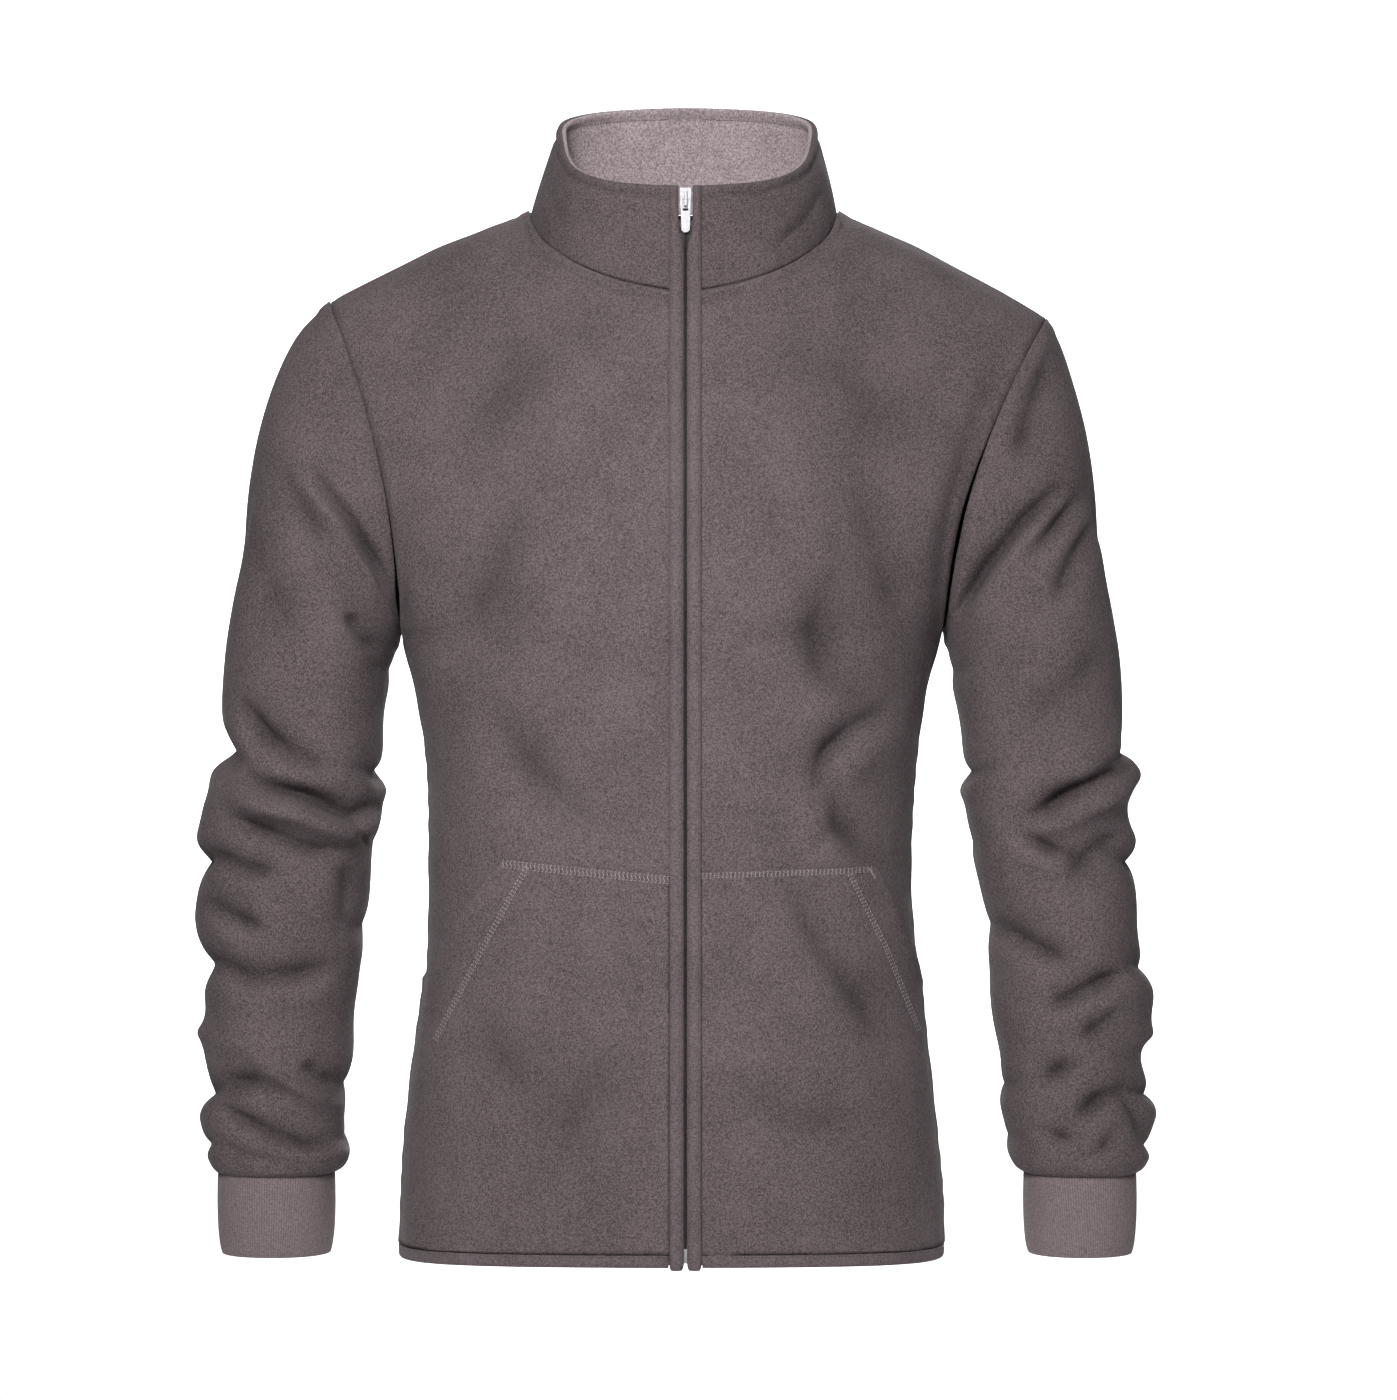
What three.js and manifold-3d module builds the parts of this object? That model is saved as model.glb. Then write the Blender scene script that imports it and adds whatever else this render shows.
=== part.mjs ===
// A fleece jacket with a full zip, filled out as if worn, with nobody in it.
// Millimetres, +Z up. +X is the wearer's left, -Y the front. x = 0 is the zip,
// and the origin is at the inside of the back neck seam.
import * as THREE from 'three';
import { mergeVertices } from 'three/addons/utils/BufferGeometryUtils.js';
import Module from 'manifold-3d';

const wasm = await Module();
wasm.setup();

// Driving dimensions
const CLOTH = 2.4; // wall of a fleece panel
const LINING = 2.0; // inner layer of the collar
const SEAM_GAP = 0.3; // space between neighbouring pieces
const NAPE_Y = 76.4; // back neck seam behind the mid plane, inside face at the origin

// Grid of each piece
const AROUND = 20; // divisions round a sleeve
const HALF = AROUND / 2; // rows of a panel along its armhole
const NECK_COLUMNS = 5;
const SHOULDER_COLUMNS = 4;
const LOWER_ROWS = 13;
const COLLAR_ROWS = 4;

// Roundness of the sections, as powers: 2 / power shapes a superellipse, and 1 is plain.
const SECTION_POWER = 2.3; // the body
const RING_POWER = 0.92; // the sleeves and cuffs
const NECK_POWER = 0.96; // the neckline, across
const NECK_RISE = 0.85; // the neckline, up from the zip
const NECK_ROUND = 1.5; // how full the chest stays below the neck seam
const SHOULDER_ROUND = 2.3; // and below the shoulder seam
const COLUMN_EASE = 0.95; // spreads a panel's columns towards its side seam
const CHEST_PULL = 1.3; // how soon the chest's columns lean towards the neck
const ARMHOLE_PULL = 2.4; // how near the armhole its shape is felt
const CHEST_BULGE = { front: 4, back: 12 }; // fullness between armpit and shoulder
const SHOULDER = { rise: 4, slope: 0.46, turn: 0.1 }; // arch of its seam and lean of its cloth
const NECK_LEAN = { up: 0.7, power: 4, inward: 0.3 }; // lean of the cloth at the neck's sides

const ZIP_EDGE = 8; // a front panel's edge from the zip line
// A welt's body starts at inner, and its crowned front reaches lip further over the zip.
const WELT = {
  inner: 3.1, outer: 10.8, wall: 1.7, corner: 1.4, lip: 1.6, crown: 0.7, bottom: -716.5,
};
const HEM = { height: 8.4, wall: 1.6, corner: 1.2, ease: 0.8, side_drop: 5 };
const NECK_GAP = 0.6; // the neck seam twists, so its gap is wider

const SIDES = { right: -1, left: 1 };
const vec = (x, y, z) => new THREE.Vector3(x, y, z);
const table = (columns, rows) =>
  rows.map((row) => Object.fromEntries(columns.map((name, k) => [name, row[k]])));

// Half sizes of the body's sections. right and left are the wearer's.
const BODY = table(['z', 'right', 'left', 'front', 'back'], [
  [-713, 195, 175, 122, 119],
  [-667, 193, 174, 120, 116],
  [-634, 191, 170, 118, 113],
  [-600, 187, 167, 117, 110],
  [-568, 184, 163, 115, 106],
  [-535, 178, 160, 113, 103],
  [-502, 176, 156, 112, 101],
  [-461, 176, 154, 112, 99],
  [-411, 176, 155, 114, 101],
  [-370, 178, 159, 117, 106],
  [-337, 184, 163, 120, 111],
  [-304, 192, 170, 122, 115],
]);

const NECK = {
  right: { half: 108 },
  left: { half: 105 },
  front_y: -87,
  front_z: -67,
  point_y: 4,
  point_z: -5,
  back_y: NAPE_Y,
  back_z: 0,
};

// The collar's rim by angle from the front.
const RIM = table(['angle', 'z'], [
  [0, 3],
  [35, 8],
  [70, 26],
  [90, 48],
  [105, 57],
  [120, 64],
  [150, 72],
  [180, 75],
]);
const COLLAR_BULGE = 3;
const RIM_SIZE = { right: 92, left: 94, front_y: -86, point_y: -2, back_y: 66 };
const RIM_POWER = { front_x: 0.9, front_y: 0.85, back_x: 0.85, back_y: 0.9 };

// Upper sleeve: each ring leans from its lowest point, in the armpit, to its highest.
const CAP_COLUMNS = ['in_x', 'in_z', 'out_x', 'out_z', 'bow', 'front', 'back'];
const CAP = {
  right: table(CAP_COLUMNS, [
    [195, -297, 244, -66, 14, 62, 62],
    [195.5, -298.5, 262, -80, 12, 66, 66],
    [196, -299.5, 274, -98, 10, 69, 69],
    [196, -300.5, 285, -123, 8, 71, 71],
    [196.5, -301.5, 294, -156, 7, 73, 73],
    [197, -302.5, 300, -189, 5, 74, 74],
    [197, -303.5, 306, -222, 4, 75, 75],
    [197.5, -305, 311, -255, 2, 75, 75],
    [198.5, -308, 316, -288, 1, 75, 75],
  ]),
  left: table(CAP_COLUMNS, [
    [176, -295, 247, -77, 16, 62, 62],
    [176, -296.5, 257, -91, 13, 66, 66],
    [176.5, -297.5, 264, -110, 11, 69, 69],
    [176.5, -298.5, 271, -138, 9, 71, 71],
    [177, -300, 278, -168, 7, 73, 73],
    [177, -301, 283, -198, 5, 74, 74],
    [177.5, -302, 288, -231, 4, 75, 75],
    [178, -304, 292, -263, 2, 75, 75],
    [179, -307, 297, -290, 1, 75, 75],
  ]),
};

// Lower sleeve: level rings, with the distances of their inner and outer edges from the zip.
const ARM_COLUMNS = ['z', 'in_x', 'out_x', 'middle', 'half'];
const ARM = {
  right: table(ARM_COLUMNS, [
    [-318, 201, 318, 0, 74],
    [-345, 206, 320, 0, 72],
    [-362, 207, 318, -1, 71],
    [-378, 207, 314, -1, 69],
    [-394, 208, 324, -2, 71],
    [-411, 207, 332, -3, 73],
    [-428, 208, 334, -4, 72],
    [-444, 214, 331, -5, 69],
    [-461, 215, 333, -5, 68],
    [-485, 217, 338, -6, 67],
    [-502, 221, 336, -7, 66],
    [-518, 222, 329, -8, 63],
    [-535, 224, 327, -9, 61],
    [-551, 227, 327, -10, 60],
    [-568, 227, 328, -10, 60],
    [-584, 226, 329, -11, 59],
    [-601, 230, 326, -12, 57],
    [-617, 234, 331, -12, 57],
    [-634, 231, 333, -13, 57],
    [-650, 228, 328, -14, 56],
    [-659, 232, 324, -14, 52],
    [-661.7, 239, 320, -14, 46],
  ]),
  left: table(ARM_COLUMNS, [
    [-318, 180, 300, 0, 74],
    [-345, 185, 301, 0, 72],
    [-362, 188, 301, -1, 70],
    [-378, 189, 307, -1, 71],
    [-394, 190, 309, -2, 73],
    [-411, 191, 302, -3, 70],
    [-428, 193, 305, -4, 69],
    [-444, 194, 308, -5, 68],
    [-461, 199, 309, -5, 67],
    [-485, 205, 310, -6, 65],
    [-502, 207, 310, -7, 64],
    [-518, 207, 316, -8, 64],
    [-535, 207, 318, -9, 63],
    [-551, 208, 318, -10, 61],
    [-568, 211, 314, -10, 59],
    [-584, 215, 309, -11, 56],
    [-601, 213, 319, -12, 58],
    [-617, 215, 322, -12, 58],
    [-634, 217, 319, -13, 57],
    [-650, 219, 318, -14, 56],
    [-659, 224, 314, -14, 52],
    [-661.7, 230, 308, -14, 46],
  ]),
};
const CUFF = table(['z', 'widen', 'half'], [
  [-662, 0, 46],
  [-680, 0.5, 45],
  [-699, 0, 44],
  [-712, -1.5, 43],
  [-716.5, -3, 41],
]);

const SLEEVE_MIDDLE = 265; // a sleeve's line from the zip

// Folds, as straight stretches in the front view: hollow where depth is positive.
// faces: -1 the front of the garment, 1 its back.
const FOLD_FREE = { panel: 2, sleeve: 3 }; // rows at each end over which folds fade out
const FOLD_COLUMNS = ['x0', 'z0', 'x1', 'z1', 'width', 'depth', 'faces'];
const FOLDS = {
  right: table(FOLD_COLUMNS, [
    [-246, -196, -212, -250, 15, 6, -1],
    [-212, -250, -196, -290, 13, 6, -1],
    [-300, -352, -262, -384, 14, 5, -1],
    [-262, -384, -214, -402, 14, -5, -1],
    [-292, -428, -226, -412, 15, 7, -1],
    [-330, -488, -292, -506, 14, 5, -1],
    [-322, -588, -284, -582, 14, -4, -1],
    [-284, -582, -236, -626, 13, 5, -1],
    [-318, -640, -262, -646, 12, 4, -1],
    [-240, -180, -212, -262, 18, 6, 1],
    [-318, -350, -226, -398, 16, 6, 1],
    [-320, -430, -232, -402, 15, 6, 1],
    [-322, -520, -246, -560, 16, 5, 1],
    [-318, -620, -246, -600, 14, 5, 1],
  ]),
  left: table(FOLD_COLUMNS, [
    [222, -118, 196, -200, 18, 7, -1],
    [196, -200, 178, -284, 16, 7, -1],
    [252, -200, 208, -250, 14, 6, -1],
    [208, -250, 178, -292, 13, 6, -1],
    [280, -216, 258, -266, 14, 5, -1],
    [308, -396, 236, -424, 15, 7, -1],
    [296, -382, 250, -396, 15, -5, -1],
    [232, -446, 262, -458, 13, 4, -1],
    [214, -502, 258, -518, 14, 5, -1],
    [254, -548, 300, -528, 14, 5, -1],
    [242, -602, 300, -592, 13, 5, -1],
    [268, -626, 306, -612, 12, 4, -1],
    [228, -150, 188, -262, 18, 6, 1],
    [296, -360, 206, -400, 16, 6, 1],
    [300, -430, 214, -410, 15, 6, 1],
    [302, -540, 226, -500, 16, 5, 1],
    [304, -600, 232, -622, 14, 5, 1],
  ]),
  body: table(FOLD_COLUMNS, [
    [134, -362, 96, -386, 15, 4, -1],
    [104, -412, 134, -456, 15, 3, -1],
    [66, -488, 134, -570, 18, 3, -1],
    [-120, -380, -60, -420, 18, 3, -1],
    [-150, -300, -110, -240, 18, 3, -1],
    [150, -290, 112, -230, 18, 3, -1],
    [-140, -390, 140, -400, 20, 4, 1],
    [-150, -430, -20, -452, 18, 3, 1],
    [20, -440, 145, -428, 18, 3, 1],
    [-120, -130, -40, -250, 22, 3, 1],
    [120, -140, 44, -250, 22, 3, 1],
  ]),
};

// Pocket outlines in the front view, from the zip welt to past the side seam.
const POCKET = {
  right: { top_in: -456, top_out: [-122, -446], slant: [[-151, -489], [-184, -538]] },
  left: { top_in: -454, top_out: [126, -451], slant: [[147, -498], [170, -558]] },
};
const POCKET_CLOTH = 2;
const POCKET_BOTTOM = -704.5;
const PAST_SIDE = 260; // beyond the side seams, from the zip
const PAST_FRONT = 300; // in front of the jacket, from the mid plane

// The slider: two plates round the coil, the post that joins them, and an arch with two feet
// over the front plate. Heights are from its middle, out and in from the front plate's back.
const SLIDER = {
  z: -5, half: 4, length: 14, plate: 1.05, back_in: -4.2, back_out: -3,
  post: { half: 1, in: -3.5, out: 0.5, from: 2 },
  arch: { half: 1, in: 2.85, out: 3.85, feet: [[3, 4.4], [-5.4, -4]] },
};
const PULL = {
  length: 23, half_top: 3.6, half_end: 2.75, thick: 1.2, corner: 1.5,
  slot: 8.6, slot_half: 2, slot_end: 1.7,
};
const COIL = { half: 2.7, out: -0.5, in: -2.5, top: -4, bottom: -702.4, clear: 4 };
const BOX = { half: 2.2, top: -702.8, bottom: -712, out: 0.3, in: -3 };

// Smooth value of a column between a table's rows, taken in the order of key.
function along(rows, key, column, value) {
  const sign = rows[rows.length - 1][key] > rows[0][key] ? 1 : -1;
  const last = rows.length - 1;
  if ((value - rows[0][key]) * sign <= 0) return rows[0][column];
  if ((value - rows[last][key]) * sign >= 0) return rows[last][column];
  let k = 0;
  while ((value - rows[k + 1][key]) * sign > 0) k += 1;
  const slope = (n) => {
    const a = rows[Math.max(n - 1, 0)];
    const b = rows[Math.min(n + 1, last)];
    return (b[column] - a[column]) / (b[key] - a[key]);
  };
  const step = rows[k + 1][key] - rows[k][key];
  const t = (value - rows[k][key]) / step;
  return (
    rows[k][column] * (1 + 2 * t) * (1 - t) ** 2 +
    slope(k) * step * t * (1 - t) ** 2 +
    rows[k + 1][column] * t * t * (3 - 2 * t) +
    slope(k + 1) * step * t * t * (t - 1)
  );
}

const mix = (a, b, t) => a + (b - a) * t;
const signedPower = (v, p) => Math.sign(v) * Math.abs(v) ** p;

// A ring of a sleeve: its point at an angle, 0 at the lowest or inner point, on by the front.
const RING_ANGLES = Array.from({ length: AROUND }, (_, k) => (2 * Math.PI * k) / AROUND);

function capPoint(side, ring, angle) {
  const low = vec(SIDES[side] * ring.in_x, 0, ring.in_z);
  const high = vec(SIDES[side] * ring.out_x, 0, ring.out_z);
  const share = (1 - Math.cos(angle)) / 2;
  const p = low.lerp(high, share);
  p.x -= SIDES[side] * ring.bow * 4 * share * (1 - share);
  const depth = Math.sin(angle) >= 0 ? ring.front : ring.back;
  p.y = -depth * signedPower(Math.sin(angle), RING_POWER);
  return p;
}

function armPoint(side, ring, angle) {
  const middle = (ring.in_x + ring.out_x) / 2;
  const half = (ring.out_x - ring.in_x) / 2;
  return vec(
    SIDES[side] * (middle - half * signedPower(Math.cos(angle), RING_POWER)),
    ring.middle - ring.half * signedPower(Math.sin(angle), RING_POWER),
    ring.z,
  );
}

// Grids of outer points with a normal for each, and the walls made from them
function surface(points, wraps, outward) {
  const rows = points.length;
  const columns = points[0].length;
  const normals = points.map((row, i) =>
    row.map((_, j) => {
      const before = wraps ? row[(j + columns - 1) % columns] : row[Math.max(j - 1, 0)];
      const after = wraps ? row[(j + 1) % columns] : row[Math.min(j + 1, columns - 1)];
      const across = after.clone().sub(before);
      const down = points[Math.min(i + 1, rows - 1)][j].clone().sub(points[Math.max(i - 1, 0)][j]);
      return across.cross(down).normalize();
    }),
  );
  const middle = [rows >> 1, columns >> 1];
  const sample = normals[middle[0]][middle[1]];
  const reference = outward(points[middle[0]][middle[1]]);
  if (sample.dot(reference) < 0) normals.forEach((row) => row.forEach((n) => n.negate()));
  return { points, normals, wraps };
}

function moved(grid, distance) {
  return grid.points.map((row, i) =>
    row.map((p, j) => p.clone().addScaledVector(grid.normals[i][j], distance)),
  );
}

function solid(vertices, faces) {
  const position = new Float32Array(vertices.flatMap((p) => [p.x, p.y, p.z]));
  let volume = 0;
  faces.forEach(([a, b, c]) => {
    volume += vertices[a].dot(vertices[b].clone().cross(vertices[c]));
  });
  const order = volume > 0 ? faces : faces.map(([a, b, c]) => [a, c, b]);
  const geometry = new THREE.BufferGeometry();
  geometry.setAttribute('position', new THREE.BufferAttribute(position, 3));
  geometry.setIndex(order.flat());
  return geometry;
}

// Closed wall between two copies of a grid, moved by near and far along its normals.
function wall(grid, near, far) {
  const layers = [moved(grid, far), moved(grid, near)];
  const rows = grid.points.length;
  const columns = grid.points[0].length;
  const vertices = layers.flatMap((layer) => layer.flat());
  const id = (layer, i, j) => layer * rows * columns + i * columns + (j % columns);
  const faces = [];
  const quad = (a, b, c, d) => faces.push([a, b, c], [a, c, d]);
  const spans = grid.wraps ? columns : columns - 1;
  for (let i = 0; i < rows - 1; i += 1) {
    for (let j = 0; j < spans; j += 1) {
      quad(id(0, i, j), id(0, i, j + 1), id(0, i + 1, j + 1), id(0, i + 1, j));
      faces.push([id(1, i, j), id(1, i + 1, j + 1), id(1, i, j + 1)]);
      faces.push([id(1, i, j), id(1, i + 1, j), id(1, i + 1, j + 1)]);
    }
  }
  for (let j = 0; j < spans; j += 1) {
    quad(id(0, 0, j + 1), id(0, 0, j), id(1, 0, j), id(1, 0, j + 1));
    const i = rows - 1;
    quad(id(0, i, j), id(0, i, j + 1), id(1, i, j + 1), id(1, i, j));
  }
  if (!grid.wraps) {
    for (let i = 0; i < rows - 1; i += 1) {
      quad(id(0, i, 0), id(0, i + 1, 0), id(1, i + 1, 0), id(1, i, 0));
      const j = columns - 1;
      quad(id(0, i + 1, j), id(0, i, j), id(1, i, j), id(1, i + 1, j));
    }
  }
  return solid(vertices, faces);
}

// A strip of one section carried along stations, closed at both ends.
function strip(stations) {
  const size = stations[0].length;
  const vertices = stations.flat();
  const faces = [];
  for (let i = 0; i < stations.length - 1; i += 1) {
    for (let j = 0; j < size; j += 1) {
      const a = i * size + j;
      const b = i * size + ((j + 1) % size);
      faces.push([a, b, b + size], [a, b + size, a + size]);
    }
  }
  return { vertices, faces, size };
}

function capped(stations, outline) {
  const { vertices, faces, size } = strip(stations);
  const ends = THREE.ShapeUtils.triangulateShape(outline, []);
  const last = (stations.length - 1) * size;
  const turned = THREE.ShapeUtils.area(outline) < 0;
  ends.forEach(([a, b, c]) => {
    faces.push(turned ? [a, b, c] : [a, c, b]);
    faces.push(turned ? [last + a, last + c, last + b] : [last + a, last + b, last + c]);
  });
  return solid(vertices, faces);
}

// Section of a folded edge, as points of how far in from the fold and how far out from the
// panel's outer face. Its front is crowned at CROWN_AT of its depth.
const CROWN_AT = 0.6;

function foldedEdge({ depth, wall: thick, corner, inside, ease = 0, lip = 0, crown = 0 }) {
  const top = SEAM_GAP + ease;
  const low = -inside - SEAM_GAP;
  return [
    [depth, top + thick - crown],
    [depth * CROWN_AT, top + thick + crown],
    [corner - lip, top + thick],
    [-lip, top + thick - corner],
    [0, 0],
    [0, low - thick + corner],
    [corner, low - thick],
    [depth, low - thick],
    [depth, low],
    [thick, low],
    [thick, top],
    [depth, top],
  ].map(([a, d]) => new THREE.Vector2(a, d));
}

// How far a table of folds moves a point of the cloth along its normal
function foldDepth(folds, p, n) {
  let total = 0;
  folds.forEach((f) => {
    const facing = Math.max(0, n.y * f.faces);
    if (facing === 0) return;
    const length2 = (f.x1 - f.x0) ** 2 + (f.z1 - f.z0) ** 2;
    const t = ((p.x - f.x0) * (f.x1 - f.x0) + (p.z - f.z0) * (f.z1 - f.z0)) / length2;
    const near = Math.min(1, Math.max(0, t));
    const gap2 =
      (p.x - mix(f.x0, f.x1, near)) ** 2 + (p.z - mix(f.z0, f.z1, near)) ** 2;
    total -= f.depth * facing * Math.exp(-gap2 / f.width ** 2);
  });
  return total;
}

// The grid with its folds, which fade out over freeRows at its ends and beside its seams
function folded(grid, folds, freeRows, outward) {
  const points = grid.points.map((row, i) =>
    row.map((p, j) => {
      const edge = Math.min(1, Math.min(i, grid.points.length - 1 - i) / freeRows);
      const side = grid.wraps ? 1 : Math.min(1, Math.min(j, row.length - 1 - j) / FOLD_FREE.panel);
      const n = grid.normals[i][j];
      return p.clone().addScaledVector(n, foldDepth(folds, p, n) * edge * side);
    }),
  );
  return surface(points, grid.wraps, outward);
}

// Neckline and shoulder seam
function neckPoint(side, angle) {
  const turn = Math.cos(angle);
  const front = turn >= 0;
  const y = front
    ? mix(NECK.point_y, NECK.front_y, turn)
    : mix(NECK.point_y, NECK.back_y, -turn);
  const rise = (1 - turn) ** NECK_RISE;
  const z = front
    ? mix(NECK.front_z, NECK.point_z, rise)
    : mix(NECK.point_z, NECK.back_z, turn * turn);
  return vec(SIDES[side] * NECK[side].half * Math.sin(angle) ** NECK_POWER, y, z);
}

function neckNormal(side, angle) {
  const lean = NECK_LEAN.up * Math.sin(angle) ** NECK_LEAN.power;
  const across = Math.sin(angle) * (1 - lean * NECK_LEAN.inward);
  return vec(SIDES[side] * across, -Math.cos(angle), lean).normalize();
}

const armholePoint = (side, angle) => capPoint(side, CAP[side][0], angle);
const armholeNormal = (angle) =>
  vec(0, -Math.sin(angle), -Math.cos(angle)).normalize();

// Angles of the neckline's points on a side, from the zip to the shoulder seam.
const firstNeckAngle = (side) => Math.asin((ZIP_EDGE / NECK[side].half) ** (1 / NECK_POWER));
const neckAngles = (side) =>
  Array.from({ length: NECK_COLUMNS + 1 }, (_, k) =>
    mix(firstNeckAngle(side), Math.PI / 2, k / NECK_COLUMNS),
  );
const backAngles = Array.from({ length: NECK_COLUMNS + 1 }, (_, k) =>
  mix(Math.PI, Math.PI / 2, k / NECK_COLUMNS),
);

function shoulderPoint(side, share) {
  const neck = neckPoint(side, Math.PI / 2);
  const tip = armholePoint(side, Math.PI);
  const p = neck.lerp(tip, share);
  p.z += SHOULDER.rise * Math.sin(Math.PI * share);
  return p;
}

function shoulderNormal(side, share) {
  const slope = SHOULDER.slope + (share - 0.5) * SHOULDER.turn;
  return vec(SIDES[side] * slope, 0, 1).normalize();
}

// Outer points of half a panel, from the hem up, and the normals that its seams fix, where
// 'side' and 'front' keep the grid's own but level. facing is -1 for the front, 1 for the back.
function halfPanel(side, facing) {
  const front = facing < 0;
  const angles = front ? neckAngles(side) : backAngles;
  const columns = NECK_COLUMNS + SHOULDER_COLUMNS;
  const seam = (facing * SEAM_GAP) / 2;
  const depthName = front ? 'front' : 'back';
  const edgeStart = front ? ZIP_EDGE : 0;
  const section = (z, share) => {
    const half = along(BODY, 'z', side, z);
    const depth = along(BODY, 'z', depthName, z);
    const start = Math.asin((edgeStart / half) ** (SECTION_POWER / 2));
    const turn = mix(start, Math.PI / 2, share ** COLUMN_EASE);
    const x = half * Math.sin(turn) ** (2 / SECTION_POWER);
    const y = depth * Math.max(Math.cos(turn), 0) ** (2 / SECTION_POWER);
    return vec(SIDES[side] * x, facing * y + seam, z);
  };
  const share = (j) => j / columns;
  const top = (j) =>
    j <= NECK_COLUMNS
      ? neckPoint(side, angles[j])
      : shoulderPoint(side, (j - NECK_COLUMNS) / SHOULDER_COLUMNS);
  const rows = [];
  const armpit = CAP[side][0].in_z;
  const start = BODY[0].z;
  for (let i = 0; i < LOWER_ROWS; i += 1) {
    const z = mix(start, armpit, i / LOWER_ROWS);
    rows.push(
      Array.from({ length: columns + 1 }, (_, j) => {
        const p = section(z, share(j));
        const drop = HEM.side_drop * Math.sin((share(j) * Math.PI) / 2) ** 2;
        p.z -= drop * (1 - i / LOWER_ROWS) ** 2;
        return p;
      }),
    );
  }
  const base = Array.from({ length: columns + 1 }, (_, j) => section(armpit, share(j)));
  const tip = armholePoint(side, Math.PI);
  for (let i = 0; i <= HALF; i += 1) {
    const rim = armholePoint(side, (Math.PI * i) / HALF);
    if (!front) rim.y = -rim.y;
    const v = (rim.z - armpit) / (tip.z - armpit);
    const formula = (j) => {
      const b = base[j];
      const t = top(j);
      const power = mix(NECK_ROUND, SHOULDER_ROUND, Math.min(1, share(j) * 1.6));
      const round = Math.max(1 - v ** power, 0) ** (1 / power);
      const x = mix(b.x, t.x, v ** CHEST_PULL);
      const p = vec(x, mix(t.y, b.y, round), mix(b.z, t.z, v));
      p.y += facing * CHEST_BULGE[depthName] * Math.sin(Math.PI * v) * (1 - share(j) ** 2);
      return p;
    };
    const miss = rim.clone().sub(formula(columns));
    rows.push(
      Array.from({ length: columns + 1 }, (_, j) => {
        const p = formula(j).addScaledVector(miss, share(j) ** ARMHOLE_PULL);
        const sideSeamTop = i === 0 && j === columns;
        const shoulderSeam = i === HALF && j >= NECK_COLUMNS;
        if (sideSeamTop || shoulderSeam) p.y += seam;
        return p;
      }),
    );
  }
  const normalAt = (i, j) => {
    const k = i - LOWER_ROWS;
    if (j === columns && k >= 0) {
      const n = armholeNormal((Math.PI * k) / HALF);
      if (!front) n.y = -n.y;
      return n;
    }
    if (j === columns) return 'side';
    if (front && j <= 1 && k !== HALF) return 'front';
    if (k === HALF && j <= NECK_COLUMNS) return neckNormal(side, angles[j]);
    if (k === HALF) return shoulderNormal(side, (j - NECK_COLUMNS) / SHOULDER_COLUMNS);
    return null;
  };
  return { rows, normals: rows.map((row, i) => row.map((_, j) => normalAt(i, j))) };
}

function applyNormals(grid, fixed) {
  fixed.forEach((row, i) =>
    row.forEach((n, j) => {
      if (n === 'side') grid.normals[i][j].setY(0).normalize();
      else if (n === 'front') grid.normals[i][j].setX(0).normalize();
      else if (n) grid.normals[i][j].copy(n);
    }),
  );
}

const forward = () => vec(0, -1, 0);
const backward = () => vec(0, 1, 0);

function frontPanel(side) {
  const { rows, normals } = halfPanel(side, -1);
  const flat = surface(rows, false, forward);
  const grid = folded(flat, FOLDS.body, FOLD_FREE.panel, forward);
  applyNormals(grid, normals);
  return grid;
}

function backPanel() {
  const right = halfPanel('right', 1);
  const left = halfPanel('left', 1);
  const across = (a, b) => a.map((row, i) => [...row.slice(1).reverse(), ...b[i]]);
  const flat = surface(across(right.rows, left.rows), false, backward);
  const grid = folded(flat, FOLDS.body, FOLD_FREE.panel, backward);
  applyNormals(grid, across(right.normals, left.normals));
  return grid;
}

function sleeve(side) {
  const rings = [
    ...CAP[side].map((ring) => RING_ANGLES.map((a) => capPoint(side, ring, a))),
    ...ARM[side].map((ring) => RING_ANGLES.map((a) => armPoint(side, ring, a))),
  ];
  rings[0].forEach((p) => {
    p.x += SIDES[side] * SEAM_GAP;
  });
  const outward = (p) => vec(p.x - SIDES[side] * SLEEVE_MIDDLE, p.y, 0);
  const grid = folded(surface(rings, true, outward), FOLDS[side], FOLD_FREE.sleeve, outward);
  RING_ANGLES.forEach((a, j) => grid.normals[0][j].copy(armholeNormal(a)));
  return grid;
}

function cuff(side) {
  const end = ARM[side][ARM[side].length - 1];
  const rings = CUFF.map(({ z, widen, half }) => {
    const ring = { z, in_x: end.in_x - widen, out_x: end.out_x + widen, middle: end.middle, half };
    return RING_ANGLES.map((a) => armPoint(side, ring, a));
  });
  const outward = (p) => vec(p.x - (SIDES[side] * (end.in_x + end.out_x)) / 2, p.y, 0);
  return surface(rings, true, outward);
}

// Collar: its stations run from the zip round the back to the zip again.
function rimPoint(side, angle) {
  const turn = Math.cos(angle);
  const size = RIM_SIZE;
  const y = turn >= 0
    ? mix(size.point_y, size.front_y, turn ** RIM_POWER.front_y)
    : mix(size.point_y, size.back_y, (-turn) ** RIM_POWER.back_y);
  const z = along(RIM, 'angle', 'z', (angle * 180) / Math.PI);
  const past = Math.max(0, Math.sin(angle) - Math.sin(firstNeckAngle(side)));
  const x = turn < 0
    ? Math.sin(angle) ** RIM_POWER.back_x * size[side]
    : mix(ZIP_EDGE, size[side], past ** RIM_POWER.front_x);
  return vec(SIDES[side] * x, y, z);
}

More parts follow.
